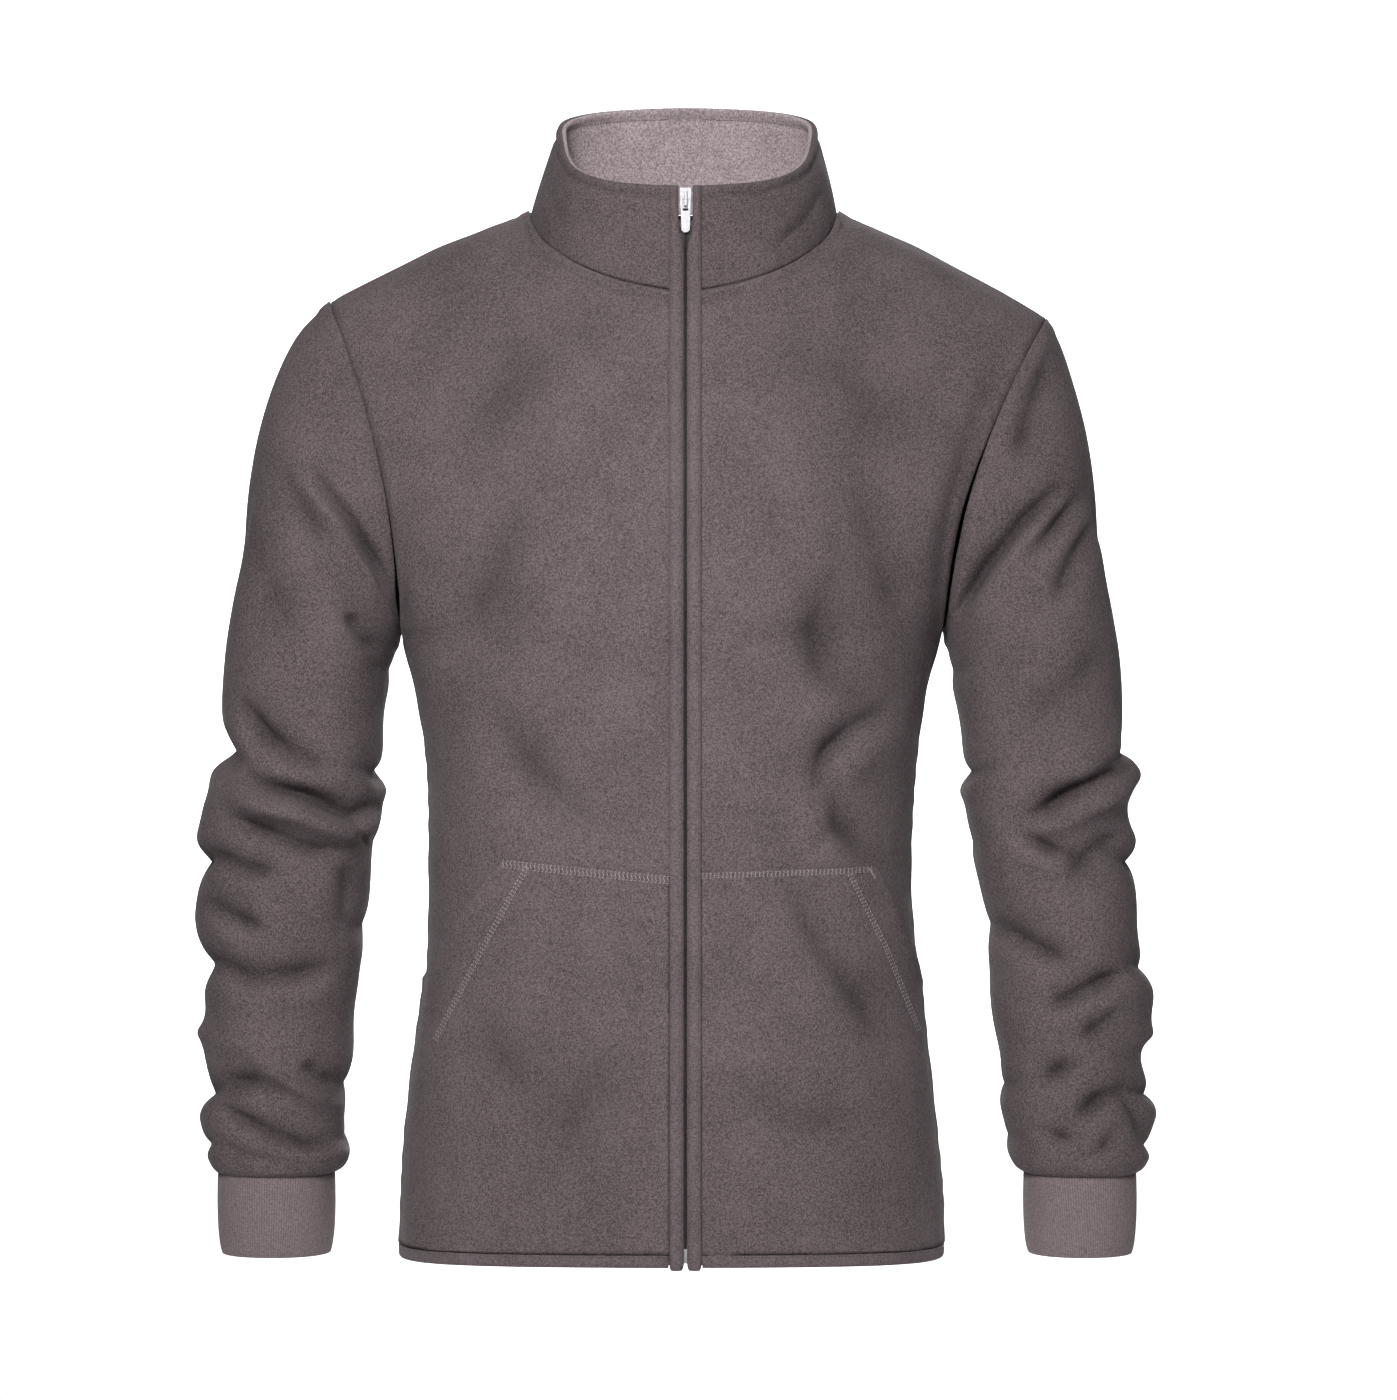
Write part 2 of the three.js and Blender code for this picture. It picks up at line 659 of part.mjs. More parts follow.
function collar(inset) {
  const stops = [
    ...neckAngles('right').map((angle) => ['right', angle]),
    ...backAngles.slice(0, -1).reverse().map((angle) => ['right', angle]),
    ...backAngles.slice(1).map((angle) => ['left', angle]),
    ...neckAngles('left').slice(0, -1).reverse().map((angle) => ['left', angle]),
  ];
  const rows = Array.from({ length: COLLAR_ROWS + 1 }, (_, k) => {
    const share = k / COLLAR_ROWS;
    return stops.map(([side, angle]) => {
      const low = neckPoint(side, angle);
      low.z += NECK_GAP;
      const p = low.clone().lerp(rimPoint(side, angle), share);
      const n = neckNormal(side, angle);
      n.z = 0;
      const bulge = COLLAR_BULGE * Math.sin(angle) ** 2 * Math.sin(Math.PI * share);
      return p.addScaledVector(n, bulge);
    });
  });
  const grid = surface(rows, false, (p) => vec(p.x, p.y, 0));
  stops.forEach(([side, angle], j) => {
    grid.normals[0][j].copy(neckNormal(side, angle));
  });
  grid.normals.forEach((row) => {
    [row[0], row[row.length - 1]].forEach((n) => {
      n.x = 0;
      n.normalize();
    });
  });
  return wall(grid, -inset.far, -inset.near);
}

// The front edge from hem to rim, as points with the outward direction there.
function frontLine(panel) {
  const middle = panel.points.map((row) => row[0]).map((p) => vec(0, p.y, p.z));
  const topRow = middle[middle.length - 1];
  const rim = rimPoint('right', firstNeckAngle('right'));
  for (let k = 1; k <= COLLAR_ROWS; k += 1) {
    const share = k / COLLAR_ROWS;
    middle.push(vec(0, mix(topRow.y, rim.y, share), mix(topRow.z, rim.z, share)));
  }
  return middle.map((p, k) => {
    const a = middle[Math.max(k - 1, 0)];
    const b = middle[Math.min(k + 1, middle.length - 1)];
    const out = vec(0, -(b.z - a.z), b.y - a.y).normalize();
    return { p, out, collar: k - (panel.points.length - 1) };
  });
}

// How far a welt's inner edge stands back round the slider, and the ease inside its fold,
// by rows of the collar counted up from the neck seam.
const PARTED = 1.7;
const WELT_ROWS = table(['collar', 'parted', 'ease'], [
  [-2, 0, 0.9],
  [-1, 0, 1.2],
  [0, 0.1, 2.4],
  [1, 0.4, 2.2],
  [2, 1.3, 1.2],
  [3, PARTED, 0.9],
  [4, PARTED, 0.9],
]);

function frontEdge(side, panel) {
  const line = frontLine(panel);
  const outlines = line.map(({ collar }) => {
    const layers = collar >= -1 ? CLOTH + SEAM_GAP + LINING : CLOTH;
    const inside = layers + along(WELT_ROWS, 'collar', 'ease', collar);
    const parted = along(WELT_ROWS, 'collar', 'parted', collar);
    const lip = WELT.lip * (1 - parted / PARTED);
    return {
      shape: foldedEdge({ ...WELT, depth: WELT.outer - WELT.inner - parted, inside, lip }),
      shift: WELT.inner + parted,
    };
  });
  const stations = line.map(({ p, out }, k) =>
    outlines[k].shape.map(({ x, y }) =>
      vec(SIDES[side] * (outlines[k].shift + x), p.y, p.z).addScaledVector(out, y),
    ),
  );
  const foot = stations[0].map((p) => vec(p.x, p.y, WELT.bottom));
  return capped([foot, ...stations], outlines[0].shape);
}

function hemBand(panels) {
  const outline = foldedEdge({ depth: HEM.height, inside: CLOTH + HEM.ease, ...HEM });
  const clear = WELT.outer + SEAM_GAP;
  const loops = [panels.front_right, panels.back, panels.front_left].map((grid) =>
    grid.points[0].map((p, j) => ({ p, n: grid.normals[0][j] })),
  );
  const [right, back, left] = loops;
  const stops = [...right.slice(0, -1), ...back.slice(0, -1), ...left.slice().reverse()];
  stops[0] = { p: stops[0].p.clone().setX(-clear), n: stops[0].n };
  const end = stops[stops.length - 1];
  stops[stops.length - 1] = { p: end.p.clone().setX(clear), n: end.n };
  const stations = stops.map(({ p, n }) => {
    const out = vec(n.x, n.y, 0).normalize();
    return outline.map(({ x, y }) =>
      p.clone().addScaledVector(out, y).setZ(p.z - HEM.wall - SEAM_GAP + x),
    );
  });
  return capped(stations, outline);
}

// Booleans on closed meshes
function toManifold(geometry) {
  const bare = geometry.clone();
  bare.deleteAttribute('normal');
  bare.deleteAttribute('uv');
  const merged = mergeVertices(bare, 1e-4);
  return new wasm.Manifold(
    new wasm.Mesh({
      numProp: 3,
      vertProperties: merged.attributes.position.array,
      triVerts: new Uint32Array(merged.index.array),
    }),
  );
}

function fromManifold(manifold) {
  const mesh = manifold.getMesh();
  const geometry = new THREE.BufferGeometry();
  geometry.setAttribute('position', new THREE.BufferAttribute(mesh.vertProperties, 3));
  geometry.setIndex(Array.from(mesh.triVerts));
  return geometry;
}

function pocket(side, panel) {
  const { top_in: topIn, top_out: topOut, slant } = POCKET[side];
  const sign = SIDES[side];
  const far = sign * PAST_SIDE;
  const near = sign * (WELT.outer + SEAM_GAP);
  const shape = new THREE.Shape();
  shape.moveTo(near, POCKET_BOTTOM);
  shape.lineTo(far, POCKET_BOTTOM - HEM.side_drop);
  shape.lineTo(far, slant[1][1]);
  slant.slice().reverse().forEach(([x, z]) => shape.lineTo(x, z));
  shape.lineTo(topOut[0], topOut[1]);
  shape.lineTo(near, topIn);
  const cutter = new THREE.ExtrudeGeometry(shape, { depth: PAST_FRONT, bevelEnabled: false });
  cutter.rotateX(Math.PI / 2);
  const lower = {
    points: panel.points.slice(0, LOWER_ROWS),
    normals: panel.normals.slice(0, LOWER_ROWS),
    wraps: false,
  };
  const patch = wall(lower, SEAM_GAP, SEAM_GAP + POCKET_CLOTH);
  return fromManifold(toManifold(patch).intersect(toManifold(cutter)));
}

// Zip
function boxSolid(x0, x1, d0, d1, z0, z1) {
  const box = new THREE.BoxGeometry(x1 - x0, d1 - d0, z1 - z0);
  box.translate((x0 + x1) / 2, -(d0 + d1) / 2, (z0 + z1) / 2);
  return box;
}

function joined(parts) {
  return fromManifold(parts.map(toManifold).reduce((a, b) => a.add(b)));
}

function zipCoil(line) {
  const kept = line.filter(
    ({ p }) => p.z > COIL.bottom + COIL.clear && p.z < COIL.top - COIL.clear,
  );
  const ends = [COIL.bottom, COIL.top].map((z) => {
    const near = line.reduce((a, b) => (Math.abs(b.p.z - z) < Math.abs(a.p.z - z) ? b : a));
    return { p: vec(0, near.p.y, z), out: vec(0, -1, 0) };
  });
  const outline = [
    [-COIL.half, COIL.out],
    [COIL.half, COIL.out],
    [COIL.half, COIL.in],
    [-COIL.half, COIL.in],
  ].map(([x, y]) => new THREE.Vector2(x, y));
  const stations = [ends[0], ...kept, ends[1]].map(({ p, out }) =>
    outline.map(({ x, y }) => vec(x, p.y, p.z).addScaledVector(out, y)),
  );
  return capped(stations, outline);
}

function slider() {
  const { half, plate, back_in: backIn, back_out: backOut, post, arch } = SLIDER;
  const top = SLIDER.length / 2;
  const ends = arch.feet.flat();
  return joined([
    boxSolid(-half, half, 0, plate, -top, top),
    boxSolid(-half, half, backIn, backOut, -top, top),
    boxSolid(-post.half, post.half, post.in, post.out, post.from, top),
    ...arch.feet.map(([z0, z1]) =>
      boxSolid(-arch.half, arch.half, post.out, arch.out, z0, z1),
    ),
    boxSolid(-arch.half, arch.half, arch.in, arch.out, Math.min(...ends), Math.max(...ends)),
  ]);
}

function pullTab() {
  const half = PULL.thick / 2;
  const outline = new THREE.Shape();
  outline.moveTo(-PULL.half_top, half);
  outline.lineTo(-PULL.half_end, -PULL.length + PULL.corner);
  outline.lineTo(-PULL.half_end + PULL.corner, -PULL.length);
  outline.lineTo(PULL.half_end - PULL.corner, -PULL.length);
  outline.lineTo(PULL.half_end, -PULL.length + PULL.corner);
  outline.lineTo(PULL.half_top, half);
  const slot = new THREE.Path();
  slot.moveTo(-PULL.slot_half, -half);
  slot.lineTo(PULL.slot_half, -half);
  slot.lineTo(PULL.slot_end, -PULL.slot);
  slot.lineTo(-PULL.slot_end, -PULL.slot);
  outline.holes.push(slot);
  const plate = new THREE.ExtrudeGeometry(outline, { depth: PULL.thick, bevelEnabled: false });
  plate.translate(0, 0, -half);
  plate.rotateX(Math.PI / 2);
  return fromManifold(toManifold(plate));
}

// Materials
const cloth = (colour) =>
  new THREE.MeshStandardMaterial({ color: colour, roughness: 0.95, metalness: 0 });
const FLEECE = cloth(0x645a5c);
const KNIT = cloth(0x786c6e);
const PALE = cloth(0xaa9ba0);
const BINDING = cloth(0x6e6466);
const TEETH = new THREE.MeshStandardMaterial({ color: 0x3c3436, roughness: 0.6, metalness: 0 });
const METAL = new THREE.MeshStandardMaterial({ color: 0xd0cfd2, roughness: 0.3, metalness: 1 });

// The part
const jacket = new THREE.Group();
const garment = new THREE.Group();
garment.position.set(0, -NAPE_Y + CLOTH + SEAM_GAP + LINING, 0);
jacket.add(garment);

function add(name, geometry, material, place = vec(0, 0, 0)) {
  const mesh = new THREE.Mesh(geometry, material);
  mesh.name = name;
  mesh.position.copy(place);
  garment.add(mesh);
}

const panels = {
  front_right: frontPanel('right'),
  front_left: frontPanel('left'),
  back: backPanel(),
};
Object.entries(panels).forEach(([name, grid]) => add(name, wall(grid, -CLOTH, 0), FLEECE));
Object.keys(SIDES).forEach((side) => {
  const front = panels[`front_${side}`];
  add(`sleeve_${side}`, wall(sleeve(side), -CLOTH, 0), FLEECE);
  add(`cuff_${side}`, wall(cuff(side), -CLOTH, 0), KNIT);
  add(`pocket_${side}`, pocket(side, front), FLEECE);
  add(`front_edge_${side}`, frontEdge(side, front), BINDING);
});
add('collar_outer', collar({ near: 0, far: CLOTH }), FLEECE);
const innerStart = CLOTH + SEAM_GAP;
add('collar_inner', collar({ near: innerStart, far: innerStart + LINING }), PALE);
add('hem_band', hemBand(panels), BINDING);

const line = frontLine(panels.front_right);
const frontAt = (z) => {
  const k = line.findIndex(({ p }) => p.z >= z);
  const [a, b] = [line[Math.max(k - 1, 0)].p, line[Math.max(k, 0)].p];
  return mix(a.y, b.y, b.z === a.z ? 0 : (z - a.z) / (b.z - a.z));
};
const sliderY = frontAt(SLIDER.z);
add('zip_coil', zipCoil(line), TEETH);
add('zip_slider', slider(), METAL, vec(0, sliderY, SLIDER.z));
const barOut = SLIDER.plate + SEAM_GAP + PULL.thick / 2;
add('zip_pull', pullTab(), METAL, vec(0, sliderY - barOut, SLIDER.z));
const boxY = frontAt(BOX.top);
const boxBody = boxSolid(-BOX.half, BOX.half, BOX.in, BOX.out, BOX.bottom, BOX.top);
add('zip_box', boxBody, METAL, vec(0, boxY, 0));

export default jacket;
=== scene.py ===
"""A dark grey fleece zip jacket, filled out as if worn, with soft creases, sewing and zip teeth."""
import math

import bmesh
import bpy
import numpy as np
from mathutils import Matrix, Vector
from mathutils.bvhtree import BVHTree
from mathutils.kdtree import KDTree


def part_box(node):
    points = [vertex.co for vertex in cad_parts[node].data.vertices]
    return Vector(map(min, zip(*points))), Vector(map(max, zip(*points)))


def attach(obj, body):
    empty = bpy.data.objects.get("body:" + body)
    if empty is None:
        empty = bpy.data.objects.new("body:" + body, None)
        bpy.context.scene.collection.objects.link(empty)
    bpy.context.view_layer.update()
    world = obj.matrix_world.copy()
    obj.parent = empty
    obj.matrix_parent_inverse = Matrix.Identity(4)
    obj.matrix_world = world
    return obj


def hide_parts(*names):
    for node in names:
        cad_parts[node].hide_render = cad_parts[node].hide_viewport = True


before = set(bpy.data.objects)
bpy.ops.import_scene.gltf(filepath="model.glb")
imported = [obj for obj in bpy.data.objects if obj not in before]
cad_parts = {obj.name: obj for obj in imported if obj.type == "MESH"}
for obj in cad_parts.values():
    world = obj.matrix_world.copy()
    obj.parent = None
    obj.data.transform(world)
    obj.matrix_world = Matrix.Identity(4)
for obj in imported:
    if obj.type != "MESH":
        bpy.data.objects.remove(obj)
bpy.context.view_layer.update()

# Sizes and places, in metres. The body's mid plane lies behind the nape point.
MM = 0.001
MID_Y = -0.0717
FRONT_FROM = -1.0  # where level rays towards the cloth start
TINY = 1e-12

# Levels of subdivision, and the angles in degrees above which an edge stays hard
FINE, COARSE = 3, 2
RIM_ANGLE, FOLD_ANGLE = 50, 75

# The photograph's frame: 0.686 mm for a pixel at the mid plane, 3.2 m away.
CAMERA_AWAY = 3.2
CAMERA_X = 0.0086
CAMERA_Z = -0.340
SENSOR = 36.0
FRAME_HEIGHT = 0.9604

# Axes of the hollows, from the top down: a point of the cloth faces away from them.
AXES = {
    "body": [(0, MID_Y, -0.16), (0, MID_Y, -0.72)],
    "collar": [(0, MID_Y, 0.09), (0, MID_Y, -0.09)],
    "right": [
        (-0.232, MID_Y, -0.14), (-0.259, MID_Y, -0.318), (-0.272, MID_Y, -0.44), (-0.28, -0.085, -0.72),
    ],
    "left": [
        (0.228, MID_Y, -0.15), (0.24, MID_Y, -0.318), (0.25, MID_Y, -0.44), (0.269, -0.085, -0.72),
    ],
}

# Creases, in millimetres. points: (across, up) in the view of the face; width: of the hollow;
# depth: how deep, or a ridge where negative; lip: the rolled edge beside it, on the right
# of its run where positive, as a share of depth.
FRONT_CREASES = [
    # wearer's right sleeve
    ([(-250, -188), (-225, -220), (-207, -249), (-196, -270), (-189, -296)], 5, 6, 0.7),
    ([(-274, -186), (-256, -210), (-237, -240)], 10, 3.5, -0.3),
    ([(-300, -232), (-282, -262), (-262, -300)], 16, 2.5, 0),
    ([(-226, -282), (-214, -300), (-205, -308)], 6, 4, 0.4),
    ([(-303, -338), (-286, -363), (-262, -378), (-240, -384)], 8, 5, 0.5),
    ([(-296, -392), (-255, -405), (-224, -419), (-207, -411), (-201, -384)], 6.5, 8, 0.85),
    ([(-308, -419), (-283, -427), (-252, -439), (-232, -442)], 6, 5, -0.5),
    ([(-326, -442), (-300, -452), (-276, -456)], 7, 4.5, 0.4),
    ([(-326, -476), (-306, -486), (-286, -495)], 7, 4.5, 0.5),
    ([(-228, -448), (-226, -466), (-230, -490)], 8, 4, 0.3),
    ([(-320, -517), (-296, -526), (-262, -524), (-236, -520)], 8, 4.5, 0.4),
    ([(-318, -571), (-294, -574), (-280, -588), (-254, -606), (-228, -622)], 9, -4.5, 0),
    ([(-316, -598), (-288, -596), (-268, -608)], 7, 4.5, 0.3),
    ([(-314, -614), (-288, -627), (-255, -639), (-236, -640)], 6.5, 5, 0.5),
    ([(-258, -584), (-248, -594), (-236, -600)], 7, 3.5, 0),
    ([(-306, -642), (-286, -650), (-262, -652)], 5, 3, 0.3),
    # wearer's left sleeve
    ([(222, -106), (206, -142), (193, -180), (183, -220), (178, -262), (173, -296)], 10, 4.5, 0.25),
    ([(246, -110), (233, -145), (223, -178)], 9, 4, 0.3),
    ([(252, -198), (226, -220), (203, -249), (189, -270), (174, -294)], 5.5, 6, -0.5),
    ([(274, -196), (252, -220), (229, -245)], 7, 4.5, -0.4),
    ([(282, -214), (266, -238), (251, -270)], 8, 4, -0.3),
    ([(288, -300), (262, -330), (232, -352)], 14, 2.5, 0),
    ([(232, -419), (261, -404), (287, -392), (306, -386)], 6.5, 8, 0.7),
    ([(224, -430), (243, -439), (263, -448)], 6, 5, 0.4),
    ([(296, -430), (276, -440), (256, -462)], 8, 3.5, 0.3),
    ([(207, -494), (230, -504), (253, -515)], 7, 4.5, 0.4),
    ([(246, -547), (268, -535), (297, -524)], 7, 5.5, 0.5),
    ([(290, -550), (279, -560), (266, -566)], 8, 4, 0),
    ([(236, -598), (250, -590), (264, -585)], 7, 4, 0.3),
    ([(262, -621), (279, -608), (300, -601)], 6.5, 5, 0.5),
    ([(296, -610), (305, -622), (311, -637)], 5, 4, 0.3),
    ([(242, -628), (250, -634), (262, -634)], 5, 3, 0.3),
    ([(288, -633), (281, -641), (272, -648)], 5, 3, 0),
    # collar
    ([(94, 8), (88, -6), (82, -18), (63, -34)], 4.5, 1.5, 0.6),
    ([(-94, 10), (-90, -6), (-84, -22)], 3.5, 1.0, 0.4),
    # body
    ([(134, -349), (112, -360), (95, -376), (88, -396)], 9, 5.2, -0.5),
    ([(98, -400), (104, -424), (120, -440), (136, -452)], 9, 4.6, 0.4),
    ([(98, -258), (86, -296), (94, -324), (120, -342)], 15, 4.0, 0.3),
    ([(70, -470), (92, -508), (116, -540), (134, -566)], 12, 3.8, 0.3),
    ([(-128, -352), (-100, -392), (-60, -424)], 16, 3.0, 0.2),
    ([(-152, -302), (-130, -262), (-112, -214)], 17, 2.6, 0),
    ([(150, -296), (132, -250), (118, -206)], 16, 2.8, 0),
    ([(-146, -540), (-118, -586), (-84, -618)], 18, 2.2, 0),
    ([(-40, -560), (-70, -610), (-92, -660)], 18, 2.0, 0),
    ([(40, -600), (80, -622), (128, -618)], 15, 2.2, 0),
    ([(-60, -92), (-110, -120), (-150, -170)], 20, 1.8, 0),
    ([(58, -94), (112, -124), (160, -176)], 20, 1.8, 0),
]
BACK_CREASES = [
    ([(-246, -180), (-222, -214), (-203, -252), (-195, -288)], 7, 5, 0.4),
    ([(-276, -200), (-256, -232), (-232, -262)], 9, 4, 0.3),
    ([(-312, -352), (-284, -374), (-246, -384), (-214, -380)], 8, 5, 0.5),
    ([(-318, -398), (-286, -408), (-252, -404), (-224, -392)], 7, 6.5, 0.6),
    ([(-316, -434), (-284, -440), (-248, -430)], 7, 4.5, -0.4),
    ([(-318, -500), (-290, -508), (-254, -498)], 8, 4, 0.4),
    ([(-316, -556), (-284, -548), (-250, -560)], 8, 4, -0.4),
    ([(-316, -604), (-286, -612), (-252, -604)], 7, 4.5, 0.4),
    ([(-312, -634), (-284, -642), (-250, -636)], 6, 4, 0.4),
    ([(244, -176), (222, -212), (198, -250), (180, -286)], 7, 5, -0.4),
    ([(272, -198), (252, -232), (228, -262)], 9, 4, -0.3),
    ([(294, -350), (262, -376), (226, -384), (198, -376)], 8, 5, -0.5),
    ([(300, -396), (266, -408), (232, -404), (202, -390)], 7, 6.5, -0.6),
    ([(298, -436), (262, -440), (224, -430)], 7, 4.5, 0.4),
    ([(304, -498), (272, -508), (238, -498)], 8, 4, -0.4),
    ([(304, -552), (270, -544), (236, -556)], 8, 4, 0.4),
    ([(308, -602), (274, -612), (240, -604)], 7, 4.5, -0.4),
    ([(308, -634), (276, -642), (240, -636)], 6, 4, -0.4),
    ([(-150, -380), (-80, -396), (0, -392), (70, -402), (140, -384)], 12, 3.4, 0.4),
    ([(-140, -428), (-84, -436), (-20, -428)], 11, 2.8, 0.4),
    ([(20, -442), (76, -434), (136, -424)], 11, 2.8, -0.4),
    ([(-110, -110), (-84, -170), (-50, -240)], 20, 2.4, 0),
    ([(112, -112), (86, -176), (48, -244)], 20, 2.4, 0),
    ([(-60, -24), (0, -34), (60, -24)], 9, 1.8, 0.3),
    ([(-120, -500), (-90, -570), (-100, -650)], 18, 2.2, 0),
    ([(60, -500), (84, -580), (70, -660)], 18, 2.2, 0),
]
# On the sleeves' outer sides, and on the sides that face the body. Across is y from the mid
# plane, towards the back.
SIDE_CREASES = [
    ([(-60, -384), (-20, -372), (24, -378), (58, -398)], 8, 6, 0.5),
    ([(-58, -446), (-16, -452), (30, -444)], 8, 4.5, -0.4),
    ([(-56, -516), (-14, -522), (36, -512)], 9, 4.5, 0.4),
    ([(-58, -572), (-20, -566), (26, -574)], 9, -3, 0),
    ([(-56, -602), (-18, -608), (28, -602)], 7, 4.5, 0.4),
    ([(-52, -636), (-18, -646), (22, -640)], 6, 3.5, 0.4),
    ([(-40, -180), (-10, -230), (-16, -300)], 16, 2.4, 0),
    ([(50, -190), (24, -244), (20, -310)], 16, 2.4, 0),
]
INNER_CREASES = [
    ([(-50, -316), (-10, -322), (40, -314)], 7, 1.1, 0.4),
    ([(-60, -384), (-20, -392), (20, -388), (50, -380)], 6, 3.2, 0.5),
    ([(-56, -432), (-10, -438), (44, -430)], 9, 1.2, -0.3),
    ([(-58, -490), (-14, -496), (40, -486)], 8, 1.5, 0.4),
    ([(-56, -596), (-18, -604), (30, -594)], 7, 2.0, 0.5),
    ([(-52, -634), (-18, -640), (22, -630)], 6, 1.3, 0.4),
]

# A crease's form, as shares of its own depth, width and length
CREASE_SCALE = 1.85
CREASE_REACH = 4
CREASE_ROUND = 0.3
CREASE_FALL = 1.4
CREASE_ENDS = 0.05
CREASE_FADE = 0.7
CREASE_UNEVEN = 0.22
CREASE_BEAT = 9.0
ROLL_AT = 1.9
ROLL_WIDTH = 1.3

# How squarely cloth must face a side to take all of that side's creases
FACING_GAIN = 1.25
SIDE_POWER = 1.5

# Painted shade in the creases: the depth in millimetres of a hollow that takes it in full, and how far
# the painted shade darkens the colour
PAINTED_SHADE_DEPTH = 8.0
PAINTED_SHADE_DARKENING = 0.5

# Where the cloth is held and where it moves freely, in millimetres
CUFF_HOLD = (-656, -640)
HEM_HOLD = (-708, -672)
ZIP_HOLD = (12, 34)
FRONT_TURN = (-10, 10)

# Seams: where the cloth lies beside them, as (distance, width, height) in millimetres
SEAM_REACH = 1.3
SEAM_CALM = (2, 22)
SEAM_LEAST = 0.35
SEAM_ROLL = (6.5, 3.6, 1.1)
PUCKER = 0.25
WELT_ROLL = (14.8, 2.4, 1.3)
WELT_FRONT = 0.03
NECK_CALM = (6, 34)
NECK_ROLL = (3.4, 2.2, 2.1)
NECK_GROOVE = (8.2, 1.7, -1.5)

# How far the shoulder's point and the sleeve's head move to lie level, in millimetres
SHOULDER_TOP = (-120, -70)
SHOULDER_WIDTH = 7
SHOULDER_LEVEL = {"body": -1.2, "right": 1.7, "left": 1.7}

# Sides of a wall, kept as material indices while it is shaped.
OUTER, RIM, INNER, UNKNOWN = 0, 1, 2, 3
RIM_WIDEST = 3.2 * MM

PANELS = (
    ("front_right", "body", "front"), ("front_left", "body", "front"), ("back", "body", "back"),
    ("sleeve_right", "right", "sleeve"), ("sleeve_left", "left", "sleeve"),
)
SEWN_TO = {
    "front_right": ["back", "sleeve_right"],
    "front_left": ["back", "sleeve_left"],
    "back": ["front_right", "front_left", "sleeve_right", "sleeve_left"],
    "sleeve_right": ["front_right", "back"],
    "sleeve_left": ["front_left", "back"],
}


# The nap's and the knit's patterns: shares of each noise or row, scales and the range that is shaded
GRAIN_SHARE, CLUMP_SHARE, BROAD_SHARE = 0.71, 0.17, 0.12
BROAD_SCALE = 22.0
NAP_SHADE = (0.40, 0.60)
RIB_SHARE, ROW_SHARE = 0.10, 0.05
ROW_DENSITY = 1.3
MELANGE_SCALE = 700.0
KNIT_SHADE = (0.28, 0.74)


# Node groups
def new_group(name, inputs, outputs):
    group = bpy.data.node_groups.new(name, "ShaderNodeTree")
    for label, kind, value in inputs:
        socket = group.interface.new_socket(label, in_out="INPUT", socket_type=kind)
        socket.default_value = value
    for label, kind in outputs:
        group.interface.new_socket(label, in_out="OUTPUT", socket_type=kind)
    nodes = group.nodes
    return group, nodes, group.links, nodes.new("NodeGroupInput"), nodes.new("NodeGroupOutput")


def noise_node(nodes, links, coords, scale, detail, rough=0.55):
    node = nodes.new("ShaderNodeTexNoise")
    node.inputs["Detail"].default_value = detail
    node.inputs["Roughness"].default_value = rough
    links.new(coords, node.inputs["Vector"])
    if isinstance(scale, (int, float)):
        node.inputs["Scale"].default_value = scale
    else:
        links.new(scale, node.inputs["Scale"])
    return node.outputs["Fac"]


def math_node(nodes, links, operation, a, b):
    node = nodes.new("ShaderNodeMath")
    node.operation = operation
    for socket, value in zip(node.inputs, (a, b)):
        if isinstance(value, (int, float)):
            socket.default_value = value
        else:
            links.new(value, socket)
    return node.outputs[0]


def spread(nodes, links, value, low, high):
    node = nodes.new("ShaderNodeMapRange")
    node.inputs["From Min"].default_value = low
    node.inputs["From Max"].default_value = high
    links.new(value, node.inputs["Value"])
    return node.outputs["Result"]


def make_nap_group():
    """Brushed fibres: fine grains, small clumps and a broad unevenness."""
    group, nodes, links, entry, out = new_group(
        "brushed_nap",
        [("Grain", "NodeSocketFloat", 900.0), ("Clump", "NodeSocketFloat", 320.0)],
        [("Shade", "NodeSocketFloat"), ("Height", "NodeSocketFloat")],
    )
    coords = nodes.new("ShaderNodeTexCoord").outputs["Object"]
    grain = noise_node(nodes, links, coords, entry.outputs["Grain"], 3.0, 0.65)
    clump = noise_node(nodes, links, coords, entry.outputs["Clump"], 2.0)
    broad = noise_node(nodes, links, coords, BROAD_SCALE, 2.0)
    fine = math_node(nodes, links, "MULTIPLY", grain, GRAIN_SHARE)
    middle = math_node(nodes, links, "MULTIPLY", clump, CLUMP_SHARE)
    wide = math_node(nodes, links, "MULTIPLY", broad, BROAD_SHARE)
    height = math_node(nodes, links, "ADD", fine, middle)
    total = math_node(nodes, links, "ADD", height, wide)
    links.new(spread(nodes, links, total, *NAP_SHADE), out.inputs["Shade"])
    links.new(height, out.inputs["Height"])
    return group


